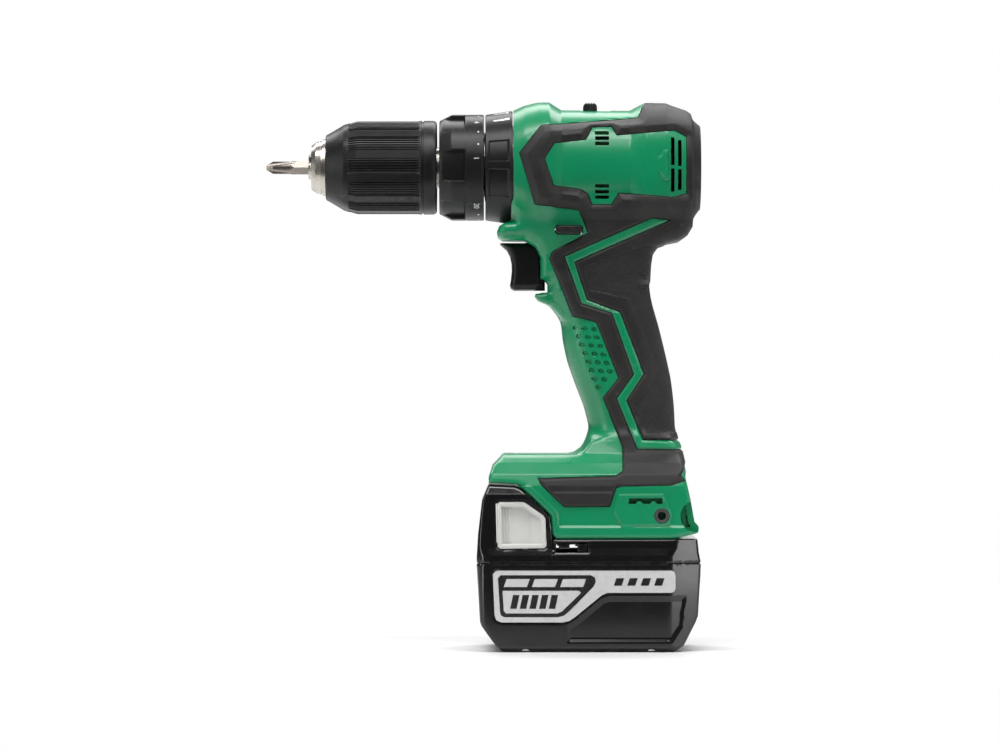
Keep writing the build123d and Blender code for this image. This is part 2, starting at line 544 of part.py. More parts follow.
def make_clutch_spring():
    """Compression spring between the nut and the gear case."""
    start, end = NUT_BACK + 0.3, BARREL_FRONT + 0.1
    wire_r, mean_r = 1.0, NOSE_TUBE_R + 2.15
    length = end - start - 2 * wire_r - 0.2
    helix = Helix(pitch=length / 6, height=length, radius=mean_r, center=(0, 0, 0),
                  direction=(0, 0, 1))
    section = Plane(origin=helix @ 0, z_dir=helix % 0) * Circle(wire_r)
    coil = sweep(section, path=helix, is_frenet=True)
    return Pos(start + wire_r + 0.1, 0, AXIS_Z) * Rot(0, 90, 0) * coil


# Gear case and motor ------------------------------------------------------------------------------
def flange_rods(x_low, x_high, radius):
    """Four rods through the gear case flange, for its screws and their holes."""
    rod = Pos((x_low + x_high) / 2, 0, AXIS_Z + CASE_R - 0.9) * Rot(0, 90, 0) * Cylinder(
        radius, x_high - x_low)
    return [round_axis(rod, 45 + 90 * index) for index in range(4)]


def make_gear_case():
    """Aluminium case: long nose, flange with a collar for the rings, and a drum for the gears."""
    face, flange_back, drum_back = BARREL_FRONT + 0.3, BARREL_FRONT + 4.2, 6.8
    bore_r, hole_r = CAM_R + SEAT_GAP, SPINDLE_R + 0.5
    case = turned([(NOSE_X, bore_r), (NOSE_X, NOSE_TUBE_R), (face, NOSE_TUBE_R),
                   (face, COLLAR_R - 2.05), (MODE_FRONT + 0.3, COLLAR_R - 2.05),
                   (MODE_FRONT + 0.3, COLLAR_R), (face + 0.1, COLLAR_R),
                   (face + 0.1, CASE_R + 1.2), (flange_back, CASE_R + 1.2), (flange_back, CASE_R),
                   (drum_back, CASE_R), (drum_back, CASE_BORE_R), (-28.6, CASE_BORE_R),
                   (-28.6, hole_r), (flange_back, hole_r), (flange_back, bore_r)])
    case -= disc(NOSE_X - 0.1, NOSE_X + 7.4, BEARING_R + SEAT_GAP)
    case -= block(STALK_FRONT - 3.0, STALK_BACK + SELECTOR_TRAVEL + 1.5, -2.4, 2.4,
                  AXIS_Z + CASE_BORE_R - 1.6, AXIS_Z + CASE_R + 2.8)
    turns = int((NUT_LENGTH + NUT_TRAVEL + 1.2) / 1.8) + 1
    threads = [disc(x, x + 0.8, NOSE_TUBE_R + 2, NOSE_TUBE_R - 0.3)
               for x in [NUT_FRONT - 1.2 + 1.8 * index for index in range(turns)]]
    return case.cut(*threads, *flange_rods(face - 0.6, flange_back - 0.5, 1.5 + SEAT_GAP))


def make_fan():
    """Cooling fan with curved-back straight blades on a hub plate."""
    fan_back, hub_r = FAN_FRONT + FAN_WIDTH, SHAFT_R + 3.5
    hub = disc(FAN_FRONT, fan_back, hub_r, SHAFT_R)
    plate = disc(FAN_FRONT, FAN_FRONT + 1.2, FAN_R, SHAFT_R)
    blade = Pos(FAN_FRONT + FAN_WIDTH / 2 + 0.3, 0, AXIS_Z + (hub_r + FAN_R) / 2 - 0.3) * Rot(
        0, 0, 28) * Box(FAN_WIDTH - 0.8, 0.9, FAN_R - hub_r + 0.2)
    blades = [round_axis(blade, 360.0 / FAN_BLADES * index) for index in range(FAN_BLADES)]
    trim = disc(FAN_FRONT, fan_back, FAN_R)
    return join([hub, plate] + blades) & trim


def make_stator_core():
    """Laminated core with six teeth."""
    yoke = disc(MOTOR_FRONT, MOTOR_BACK, STATOR_R, STATOR_R - 3.2)
    teeth = []
    for index in range(STATOR_TEETH):
        tooth = block(MOTOR_FRONT, MOTOR_BACK, -2.5, 2.5, AXIS_Z + STATOR_BORE_R - 0.9,
                      AXIS_Z + STATOR_R - 2.4)
        shoe = block(MOTOR_FRONT, MOTOR_BACK, -5.6, 5.6, AXIS_Z + STATOR_BORE_R - 1.9,
                     AXIS_Z + STATOR_BORE_R + 1.6)
        turn = 360.0 / STATOR_TEETH * index
        teeth += [round_axis(tooth, turn), round_axis(shoe, turn)]
    return join([yoke] + teeth) - disc(MOTOR_FRONT - 1, MOTOR_BACK + 1, STATOR_BORE_R)


def make_windings():
    """One copper coil round each stator tooth."""
    coils = []
    for index in range(STATOR_TEETH):
        coil = block(MOTOR_FRONT - 2, MOTOR_BACK + 2, -5.0, 5.0, AXIS_Z + STATOR_BORE_R + 1.7,
                     AXIS_Z + STATOR_R - 4.2)
        coil -= block(MOTOR_FRONT - SEAT_GAP, MOTOR_BACK + SEAT_GAP, -2.5 - SEAT_GAP,
                      2.5 + SEAT_GAP, AXIS_Z, AXIS_Z + STATOR_R)
        coils.append(round_axis(coil, 360.0 / STATOR_TEETH * index))
    return Compound(children=coils)


# Housing ------------------------------------------------------------------------------------------
def barrel(inset):
    """Motor barrel with flattened sides, drawn in by inset."""
    points = [(x - (inset if x > CAP_FRONT + 1 else 0), r - inset) for x, r in BARREL]
    round_part = turned([(BARREL_FRONT, 0)] + points + [(points[-1][0], 0)])
    sides = block(-90, 90, -SIDE_HALF + inset, SIDE_HALF - inset, AXIS_Z - 60, AXIS_Z + 60)
    return round_part & sides


def grip(inset):
    """Grip lofted through rounded sections."""
    sections = []
    for (front, z), (rear, _), half_width in GRIP:
        half = half_width - inset
        length = rear - front - 2 * inset
        sections.append(Pos((front + rear) / 2, 0, z) * RectangleRounded(
            length, 2 * half, min(half, length / 2) * 0.86))
    return loft(sections)


def body(inset=0.0):
    """Whole handle body, drawn in by inset."""
    neck = side_prism(NECK, -60, 60, inset) & width_prism(NECK_WIDTH, inset)
    foot = side_prism(FOOT, -60, 60, inset) & width_prism(FOOT_WIDTH, inset)
    lip_half = TRIGGER_HALF + 2.4 - inset
    lip = side_prism(LIP, -lip_half, lip_half, inset)
    return join([barrel(inset), neck, grip(inset), lip, foot])


def vents():
    """Slots through both sides of the motor barrel."""
    slots = []
    for low, high in ((14.9, 16.7), (12.3, 14.1), (9.7, 11.5), (-10.5, -8.9), (-13.3, -11.7),
                      (-15.9, -14.3)):
        slots.append(block(3.4, 10.0, -60, 60, AXIS_Z + low, AXIS_Z + high))
    for x, low, high in ((-9.4, 0.1, 13.3), (-9.4, -12.5, -1.5), (-6.0, -0.3, 12.1),
                         (-6.0, -11.7, -1.9)):
        slots.append(block(CAP_FRONT + x, CAP_FRONT + x + 1.7, -60, 60, AXIS_Z + low,
                           AXIS_Z + high))
    return slots


def housing_solids():
    """Walls with their ribs, screw bosses and battery dock, and the soft layer, both uncut."""
    outer = body()
    under_skin = body(SKIN)
    hollow = body(WALL)
    region = side_prism(SOFT_FRAME, -60, 60) - side_prism(SIDE_PANEL, -60, 60)
    region -= side_prism(STRIPE, -60, 60)
    soft = (outer - under_skin) & region

    inside = body(SKIN + 0.4)
    rib_r = BARREL_R + 0.4
    board_z = BATTERY_TOP + 26.3
    ribs = [disc(MOTOR_FRONT + 1.5, MOTOR_FRONT + 1.5 + RIB, rib_r, STATOR_R + SEAT_GAP),
            disc(MOTOR_BACK - 1.5 - RIB, MOTOR_BACK - 1.5, rib_r, STATOR_R + SEAT_GAP),
            disc(-8.0, -8.0 + RIB, rib_r, CASE_R + SEAT_GAP)]
    for side in (-1, 1):
        low, high = sorted((side * 7.5, side * 20))
        ribs.append(block(-9.5, 14.0, low, high, UNDER_Z - 44.2, UNDER_Z - 41.3))
        low, high = sorted((side * (FOOT_HALF - 15.0), side * (FOOT_HALF + 5.0)))
        ribs.append(block(-8.0, 36.0, low, high, board_z - 3.0, board_z - 0.1))
    bosses = [cross_rod(x, z, -40, 40, SCREW_R + 2.3) for x, z in HOUSING_SCREWS]
    dock_half = RAIL_HEAD_HALF + 3.7
    dock = block(-12.0, PACK_REAR + 1.0, -dock_half, dock_half, BATTERY_TOP + 0.4,
                 BATTERY_TOP + 15.9)
    supports = join([outer - hollow] + [piece & inside for piece in ribs + bosses + [dock]])
    supports -= disc(BARREL_FRONT - 1, 12.0, CASE_R + SEAT_GAP)
    supports -= disc(12.0, CAP_FRONT - 1, STATOR_R + SEAT_GAP)
    supports -= disc(BARREL_FRONT - 1, BARREL_FRONT + 4.7, CASE_R + 1.3)
    return supports, soft


def housing_cuts():
    """Everything cut through both housing halves and their soft layers."""
    neck_half, head_half = RAIL_NECK_HALF + RAIL_GAP, RAIL_HEAD_HALF + RAIL_GAP
    terminal_half = TERMINAL_HALF + 1.1
    finger_half = TRIGGER_HALF + 0.5
    cuts = [
        block(-90, RAIL_END_X + 0.6, -neck_half, neck_half, BATTERY_TOP - 4, RAIL_LIP_Z + 1),
        block(-90, RAIL_END_X + 0.6, -head_half, head_half, RAIL_LIP_Z - RAIL_GAP,
              RAIL_TOP_Z + 0.5),
        block(16.9, 40.1, -terminal_half, terminal_half, BATTERY_TOP + 6.3, BATTERY_TOP + 22.3),
        block(-60, TRIGGER_BACK + TRIGGER_TRAVEL + 1.1, -finger_half, finger_half,
              UNDER_Z - 33.0, UNDER_Z - 8.4),
        capsule(BUTTON_LENGTH, BUTTON_HEIGHT, 60, BUTTON_GAP),
        block(KNOB_FRONT - 1.4, KNOB_BACK + SELECTOR_TRAVEL + 1.7, -KNOB_HALF - 0.5,
              KNOB_HALF + 0.5, AXIS_Z + CASE_R - 3, AXIS_Z + 60),
        block(-25.0, 10.0 + SELECTOR_TRAVEL, -5.0, 5.0, AXIS_Z + CASE_R - 3,
              AXIS_Z + CASE_R + 1.8),
        side_prism(LENS, -9.2, 9.2, -SEAT_GAP),
        block(PACK_FRONT + 4, PACK_FRONT + 16, -7.6, 7.6, BATTERY_TOP + 30.3, BATTERY_TOP + 37.3),
        block(CAP_FRONT, CAP_BACK + 15, -60, 60, AXIS_Z - 80, AXIS_Z + 60),
        disc(CAP_FRONT - 4, CAP_FRONT + 1, MOTOR_BEARING_R + 3.6),
        disc(BARREL_FRONT - 30, BARREL_FRONT, MODE_R_BACK + SLIP_GAP),
    ]
    for side in (-1, 1):
        outside = side * (FOOT_HALF + 1)
        low, high = sorted((outside, side * (FOOT_HALF - 3.5)))
        cuts.append(block(19.3, 35.2, low, high, BATTERY_TOP + 17.1, BATTERY_TOP + 19.4))
        low, high = sorted((outside, side * (FOOT_HALF - 8.0)))
        cuts.append(cross_rod(*HOOK_HOLE, low, high, 3.65))
        low, high = sorted((outside, side * (FOOT_HALF - 4.5)))
        cuts.append(cross_rod(PACK_REAR + 3.5, HOOK_HOLE[1], low, high, 4.9))
    for x, z in HOUSING_SCREWS:
        cuts.append(cross_rod(x, z, -11.0, 60, SCREW_R + SEAT_GAP))
        cuts.append(cross_rod(x, z, 6.0, 60, 3.2))
    return cuts + vents()


def make_housing():
    """Both housing halves and the soft layers moulded on them."""
    supports, soft = housing_solids()
    cuts = housing_cuts()
    shell = supports.cut(soft, *cuts)
    soft = soft.cut(*cuts)
    left = block(-120, 120, -80, 0, 0, AXIS_Z + 90)
    right = block(-120, 120, 0, 80, 0, AXIS_Z + 90)
    return shell & left, shell & right, soft & left, soft & right


def make_rear_cap():
    """Bumper cap with the rear bearing's seat."""
    cap = barrel(0) & block(CAP_FRONT, CAP_BACK + 15, -60, 60, AXIS_Z - 60, AXIS_Z + 60)
    cap = join([cap, disc(CAP_FRONT - 2.8, CAP_FRONT + 1, MOTOR_BEARING_R + 2.4)])
    cap -= disc(CAP_FRONT - 3, CAP_FRONT + 2.2, MOTOR_BEARING_R + SEAT_GAP)
    grooves = [block(CAP_BACK - 1.1, CAP_BACK + 5, -12, 12, AXIS_Z + z, AXIS_Z + z + 1.6)
               for z in (-10, -5, 0, 5, 9)]
    return cap.cut(*grooves)


def make_housing_screws():
    """Pan-head screws that clamp the two halves, driven from the right side."""
    screws = []
    for x, z in HOUSING_SCREWS:
        screw = join([cross_rod(x, z, -10.0, 7.0, SCREW_R), cross_rod(x, z, 6.1, 8.3, 3.0)])
        screw -= Pos(x, 8.3, z) * Box(3.6, 2.0, 0.8)
        screw -= Pos(x, 8.3, z) * Box(0.8, 2.0, 3.6)
        screws.append(screw)
    return Compound(children=screws)


def hook_insert(side):
    """Brass thread for the belt hook's screw."""
    low, high = sorted((side * (FOOT_HALF - 7.5), side * (FOOT_HALF - 0.2)))
    return cross_rod(*HOOK_HOLE, low, high, 3.6) - cross_rod(*HOOK_HOLE, low - 1, high + 1, 2.0)


# Controls -----------------------------------------------------------------------------------------
def make_trigger():
    """Trigger with a rounded finger face and a stem into the switch."""
    blade = side_prism(TRIGGER, -TRIGGER_HALF, TRIGGER_HALF)
    front = [edge for edge in blade.edges()
             if edge.center().X < -36 and abs(edge.center().Y) > TRIGGER_HALF - 0.1]
    blade = chamfer(front, 1.6)
    stem = block(TRIGGER_BACK - 0.5, STEM_BACK, -4.0, 4.0, UNDER_Z - 23.7, UNDER_Z - 15.7)
    return join([blade, stem])


def make_reversing_button():
    """Bar right across the tool, with rounded ends and a chamfered face on each side."""
    bar = capsule(BUTTON_LENGTH, BUTTON_HEIGHT, BUTTON_HALF)
    return chamfer(bar.faces().filter_by(Axis.Y).edges(), 0.6)


def make_speed_knob():
    """Thumb slider on top, with a carrying plate and a stalk into the ring gear's groove."""
    base, top = AXIS_Z + CASE_R, AXIS_Z + BARREL_R + 3.6
    knob = side_prism([(KNOB_FRONT, base + 0.9), (KNOB_FRONT, top - 1.8), (KNOB_FRONT + 0.4, top - 0.8),
                       (KNOB_FRONT + 1.6, top), (KNOB_BACK - 1.6, top), (KNOB_BACK - 0.4, top - 0.8),
                       (KNOB_BACK, top - 1.8), (KNOB_BACK, base + 0.9)], -KNOB_HALF, KNOB_HALF)
    ridges = [block(x, x + 0.6, -5, 5, top - 0.5, top + 1)
              for x in (KNOB_FRONT + 1.9, KNOB_FRONT + 3.1, KNOB_FRONT + 4.3)]
    plate = block(-22.0, 8.0, -4.0, 4.0, base + 0.4, base + 1.2)
    stalk = block(STALK_FRONT, STALK_BACK, -2.0, 2.0, AXIS_Z + CASE_BORE_R - 0.85, base + 0.8)
    return join([knob.cut(*ridges), plate, stalk])


def make_switch_body():
    """Trigger switch with a stem hole at the front and terminals below."""
    front = TRIGGER_BACK + TRIGGER_TRAVEL + 1.7
    case = block(front, 13.5, -10.2, 10.2, UNDER_Z - 41.2, UNDER_Z - 8.1)
    case -= block(front - 1, STEM_BACK + TRIGGER_TRAVEL + 2.0, -4.3, 4.3, UNDER_Z - 24.0,
                  UNDER_Z - 15.4)
    pins = [block(x, x + 1.2, -6, -4, UNDER_Z - 44.9, UNDER_Z - 41.2) for x in (-6.0, 0.0, 6.0)]
    return join([case] + pins)


# Electronics in the handle ------------------------------------------------------------------------
def make_controller_board():
    """Circuit board with its power transistors, a capacitor and a heat sink."""
    low, half = BATTERY_TOP + 26.3, FOOT_HALF - 12.0
    board = block(-7.0, 34.0, -half, half, low, low + 1.6)
    parts = [block(0.0 + 6 * i, 4.4 + 6 * i, y, y + 9, low + 1.6, low + 3.2)
             for i in range(5) for y in (-14, 5)]
    return join([board] + parts + [Pos(30.5, 0, low + 4.1) * Cylinder(3.0, 5.0)])


def contact_places():
    """Y of each battery contact and its blade."""
    return -TERMINAL_HALF + 4.0, 0.0, TERMINAL_HALF - 4.0


def make_terminal_block():
    """Block in the dock roof with three blades that reach into the battery."""
    block_body = block(18.0, 39.0, -TERMINAL_HALF, TERMINAL_HALF, BATTERY_TOP + 7.8,
                       BATTERY_TOP + 18.3)
    flange = block(17.0, 40.0, -TERMINAL_HALF - 1, TERMINAL_HALF + 1, BATTERY_TOP + 13.4,
                   BATTERY_TOP + 15.9)
    blades = [block(9.6, 18.5, y - 0.4, y + 0.4, BATTERY_TOP + 8.3, BATTERY_TOP + 11.7)
              for y in contact_places()]
    return join([block_body, flange] + blades)


def make_light():
    """Clear lens in the foot's front corner, and the small board behind it."""
    back, low = PACK_FRONT + 9.0, BATTERY_TOP + 30.5
    lens = side_prism(LENS, -9.1, 9.1) - block(back - 5, back + 7, -7.5, 7.5, low - 0.2, low + 6.8)
    board = block(back, back + 1.4, -7.4, 7.4, low, low + 6.6) + (
        Pos(back - 1.4, 0, low + 4.0) * Rot(0, 90, 0) * Cylinder(2.4, 2.8))
    return lens, board


# Battery ------------------------------------------------------------------------------------------
def battery_form(inset=0.0):
    """Outer form of the battery, drawn in by inset."""
    return side_prism(BATTERY, -60, 60, inset) & width_prism(
        [(half, z + (inset if z < 1 else 0)) for half, z in BATTERY_WIDTH], inset)


def latch_window(side, inset):
    """Opening in the upper case for a release button."""
    low, high = sorted((side * (BATTERY_HALF - 11.5), side * (BATTERY_HALF + 2.0)))
    return side_prism(LATCH_WINDOW, low, high, inset)


def case_screw_places():
    """(x, y) of each screw that joins the two cases."""
    return [(side_x * CASE_SCREW_X, side_y * CASE_SCREW_Y)
            for side_y in (-1, 1) for side_x in (-1, 1)]


def make_battery_cases():
    """Lower and upper case with the rails and the front tower."""
    form, hollow = battery_form(), battery_form(CASE_WALL)
    hollow_low = hollow & block(-90, 90, -60, 60, 0, BATTERY_TOP - CASE_WALL)
    tower = hollow & block(-90, PACK_FRONT + 27, -60, 60, BATTERY_TOP - 24, BATTERY_TOP + 36)
    rail = block(RAIL_START_X, RAIL_END_X, -RAIL_HEAD_HALF, RAIL_HEAD_HALF, RAIL_LIP_Z, RAIL_TOP_Z)
    neck = block(RAIL_START_X, RAIL_END_X, -RAIL_NECK_HALF, RAIL_NECK_HALF, BATTERY_TOP - 1,
                 RAIL_LIP_Z)
    bosses = [Pos(x, y, PARTING_Z + 4) * Cylinder(CASE_SCREW_R + 1.15, 8)
              for x, y in case_screw_places()]
    shell = join([form - hollow_low - tower, rail, neck] + bosses)
    slot_half = TERMINAL_HALF + 2.0
    shell -= block(8.5, 90, -slot_half, slot_half, BATTERY_TOP + 7.1, RAIL_TOP_Z + 3)
    shell -= block(-16.0, 8.0, 3 - slot_half, slot_half - 3, BATTERY_TOP + 2.8,
                   BATTERY_TOP + 10.8)
    windows = [latch_window(side, -0.4) for side in (-1, 1)]
    label_pads = [side_prism(LABEL, side * BATTERY_HALF - 0.3, side * BATTERY_HALF + 0.3, -0.05)
                  for side in (-1, 1)]
    for x, y in case_screw_places():
        windows.append(Pos(x, y, PARTING_Z / 2) * Cylinder(CASE_SCREW_R + SEAT_GAP, PARTING_Z + 14.4))
        windows.append(Pos(x, y, 1.0) * Cylinder(2.5, 2.2))
    shell = shell.cut(*windows, *label_pads)
    lower = block(-90, 90, -60, 60, -5, PARTING_Z)
    return shell & lower, shell - lower


def cell_centres():
    """(x, z) of each cell."""
    start = -CELL_PITCH * (CELL_COLUMNS - 1) / 2
    lowest = CASE_WALL + CELL_FLOOR + CELL_R
    rows = (lowest, lowest + CELL_PITCH)
    return [(start + CELL_PITCH * i, z) for z in rows for i in range(CELL_COLUMNS)]


def make_cells():
    """Round cells lying across the battery."""
    cells = []
    for x, z in cell_centres():
        can = cross_rod(x, z, -CELL_LENGTH / 2 + 0.8, CELL_LENGTH / 2 - 0.8, CELL_R)
        cells.append(join([can, cross_rod(x, z, CELL_LENGTH / 2 - 0.9, CELL_LENGTH / 2, 3.0)]))
    return Compound(children=cells)


def make_cell_holder():
    """Two plates that hold the cells by their ends, joined by a floor bar."""
    floor = CASE_WALL + 0.1
    fill = battery_form(floor) & block(-90, 90, -60, 60, floor, PARTING_Z + 0.9)
    outer_y = CELL_LENGTH / 2 - 3.0
    plates = []
    for side in (-1, 1):
        low, high = sorted((side * outer_y, side * (outer_y - 8.5)))
        plates.append(fill & block(-90, 90, low, high, 0, PARTING_Z + 10))
    bar = fill & block(-9.0, 9.0, 5.0 - outer_y, outer_y - 5.0, floor, floor + 1.1)
    holes = [cross_rod(x, z, -40, 40, CELL_R + SEAT_GAP) for x, z in cell_centres()]
    return join(plates + [bar]).cut(*holes)


def make_battery_contacts():
    """Three forked contacts on the battery board, one for each blade."""
    low, high = BATTERY_TOP + 7.2, BATTERY_TOP + 12.3
    forks = []
    for y in contact_places():
        forks.append(block(9.0, 17.5, y + 0.75, y + 1.35, low, high))
        forks.append(block(9.0, 17.5, y - 1.35, y - 0.75, low, high))
        forks.append(block(9.0, 9.5, y - 1.35, y + 1.35, low, high))
        forks.append(block(8.55, 9.1, y - 1.0, y + 1.0, low, high - 1.0))
    return join(forks)


def make_case_screws():
    """Screws through the lower case into the upper case."""
    screws = []
    for x, y in case_screw_places():
        top = PARTING_Z + 7.0
        screw = Pos(x, y, (1.0 + top) / 2) * Cylinder(CASE_SCREW_R, top - 1.0)
        head = Pos(x, y, 1.3) * Cylinder(2.4, 1.5)
        screws.append(join([screw, head]) - Pos(x, y, 0.6) * Box(2.8, 0.7, 1.4))
    return Compound(children=screws)


def make_latch(side):
    """Release button with a concave face and finger ribs."""
    low, high = sorted((side * (BATTERY_HALF - 7.0), side * (BATTERY_HALF - 1.8)))
    plate = side_prism(LATCH_WINDOW, low, high)
    scoop = Pos(PACK_FRONT + 22.0, side * (BATTERY_HALF + 24.0), BATTERY_TOP) * Cylinder(27.6, 40)
    plate -= scoop & block(PACK_FRONT + 6, 0, -90, 90, BATTERY_TOP - 2.2, BATTERY_TOP + 7.8)
    low, high = sorted((side * (BATTERY_HALF - 2.1), side * (BATTERY_HALF - 1.1)))
    ribs = [block(x, x + 0.7, low, high, BATTERY_TOP - 0.7, BATTERY_TOP + 16.3)
            for x in [PACK_FRONT + 5.4 + 1.4 * index for index in range(4)]]
    return join([plate] + ribs)


# Build --------------------------------------------------------------------------------------------
def main():
    """Build every node and write its STEP file."""
    os.makedirs("parts", exist_ok=True)
    left, right, soft_left, soft_right = make_housing()
    save("left_housing", left)
    save("right_housing", right)
    save("left_soft_grip", soft_left)
    save("right_soft_grip", soft_right)
    save("rear_cap", make_rear_cap())
    save("housing_screws", make_housing_screws())

    save("gear_case", make_gear_case())
    screw_front = BARREL_FRONT + 0.5
    flange_screws = [rod - Pos(screw_front - 0.2, rod.center().Y, rod.center().Z) * Box(1, 0.6, 2.2)
                     for rod in flange_rods(screw_front, screw_front + 3.1, 1.5)]
    save("gear_case_screws", Compound(children=flange_screws))
    save("front_bearing", disc(NOSE_X + 0.1, NOSE_X + 7.2, BEARING_R, SPINDLE_R + RUN_GAP))
    turning_cam, fixed_cam = make_cams()
    save("turning_cam", turning_cam)
    save("fixed_cam", fixed_cam)
    save("ring_gear_1", ring_gear(-8.6, 3.0, CASE_BORE_R - SEAT_GAP))
    groove = disc(STALK_FRONT - 0.05, STALK_BACK + 0.05, CASE_R, CASE_BORE_R - 1.1)
    save("ring_gear_2", ring_gear(-25.0, -14.2, CASE_BORE_R - 0.08) - groove)
    save("motor_plate", disc(7.0, 11.2, CASE_R, MOTOR_BEARING_R + SEAT_GAP)
         + disc(7.0, 7.8, MOTOR_BEARING_R + 1, SHAFT_R + 2.7))
    save("motor_bearings", Compound(children=[
        disc(7.9, 11.2, MOTOR_BEARING_R, SHAFT_R + RUN_GAP),
        disc(CAP_FRONT - 2.6, CAP_FRONT + 2.0, MOTOR_BEARING_R, SHAFT_R + RUN_GAP)]))
    save("stator_core", make_stator_core())
    save("windings", make_windings())

    thread_r = SPINDLE_R / 2
    save("spindle", disc(SOCKET_X, -30.0, SPINDLE_R) - disc(SOCKET_X - 1, SOCKET_X + 15,
                                                           thread_r + SEAT_GAP))
    save("chuck_body", make_chuck_body())
    screw_head = disc(SOCKET_X - 3.4, SOCKET_X, SPINDLE_R - 0.6)
    screw = join([screw_head, disc(SOCKET_X - 0.5, SOCKET_X + 14.5, thread_r)])
    save("chuck_screw", screw - disc(SOCKET_X - 3.5, SOCKET_X - 1.6, thread_r - 0.4))
    save("carrier_2", join([carrier(-28.2, -25.4, -15.6), disc(-30.0, -28.0, SPINDLE_R)]))
    save("chuck_sleeve", make_sleeve())
    for index, letter in enumerate("abc"):
        save(f"jaw_{letter}", make_jaw(120.0 * index))
        save(f"planet_2{letter}", planet(index, -25.0, -16.0))
        save(f"planet_1{letter}", planet(index, -8.3, 1.4))
    save("driver_bit", make_bit())
    save("carrier_1", join([carrier(-12.0, -8.7, 1.8), spur_gear(SUN_TEETH, -24.6, -11.5)]))
    save("rotor_shaft", join([spur_gear(SUN_TEETH, -8.2, 6.4), disc(6.0, CAP_FRONT + 1.8, SHAFT_R)]))
    save("rotor_magnets", disc(MOTOR_FRONT, MOTOR_BACK, ROTOR_R, SHAFT_R))
    save("fan", make_fan())

    save("torque_ring", make_torque_ring())
    save("spring_nut", make_spring_nut())
    save("clutch_spring", make_clutch_spring())
    save("mode_ring", make_mode_ring())
    save("speed_knob", make_speed_knob())
    save("trigger", make_trigger())
    save("reversing_button", make_reversing_button())
    save("switch_body", make_switch_body())
    save("controller_board", make_controller_board())
    save("terminal_block", make_terminal_block())
    lens, light_board = make_light()
    save("light_lens", lens)
    save("light_board", light_board)
    save("hook_inserts", Compound(children=[hook_insert(side) for side in (-1, 1)]))

    lower, upper = make_battery_cases()
    save("lower_case", lower)
    save("upper_case", upper)
    save("cells", make_cells())
    save("cell_holder", make_cell_holder())
    board_half = BATTERY_HALF - 8.0
    save("battery_board", block(PACK_FRONT + 2, PACK_REAR - 2, -board_half, board_half,
                                PARTING_Z + 1.0, PARTING_Z + 2.6))
    save("battery_contacts", make_battery_contacts())
    save("case_screws", make_case_screws())
    for name, side in (("left", -1), ("right", 1)):
        save(f"latch_{name}", make_latch(side))
        low, high = sorted((side * (BATTERY_HALF - 0.28), side * (BATTERY_HALF + 0.02)))
        save(f"label_{name}", side_prism(LABEL, low, high))


main()
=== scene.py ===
"""Looks of the cordless drill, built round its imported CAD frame."""

import logging
import math
from dataclasses import dataclass
from enum import Enum
from functools import reduce
from typing import Callable, Dict, List, Sequence, Tuple, Union

import bpy
import numpy as np
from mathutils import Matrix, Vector

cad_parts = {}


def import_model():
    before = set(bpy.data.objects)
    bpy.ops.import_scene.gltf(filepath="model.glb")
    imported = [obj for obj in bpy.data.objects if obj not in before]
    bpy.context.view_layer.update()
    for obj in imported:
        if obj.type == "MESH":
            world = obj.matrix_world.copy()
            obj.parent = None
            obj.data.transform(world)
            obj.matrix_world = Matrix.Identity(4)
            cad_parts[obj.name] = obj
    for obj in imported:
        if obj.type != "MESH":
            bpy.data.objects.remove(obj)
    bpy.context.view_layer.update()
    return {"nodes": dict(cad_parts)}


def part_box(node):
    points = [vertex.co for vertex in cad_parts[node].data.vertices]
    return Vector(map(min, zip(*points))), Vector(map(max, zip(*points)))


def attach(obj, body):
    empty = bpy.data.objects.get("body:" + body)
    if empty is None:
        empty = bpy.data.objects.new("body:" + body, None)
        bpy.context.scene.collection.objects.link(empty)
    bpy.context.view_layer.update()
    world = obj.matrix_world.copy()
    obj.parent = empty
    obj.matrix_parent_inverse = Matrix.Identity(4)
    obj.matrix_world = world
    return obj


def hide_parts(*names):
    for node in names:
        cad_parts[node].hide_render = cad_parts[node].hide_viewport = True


Point2 = Tuple[float, float]
Array = np.ndarray
Form = Callable[[Array, Array, Array], Array]
Placing = Callable[[float, float, float], Vector]

LOG = logging.getLogger("drill")
MM = 0.001


class Side(Enum):
    """Side of the tool, as the sign of Y."""

    LEFT = -1
    RIGHT = 1


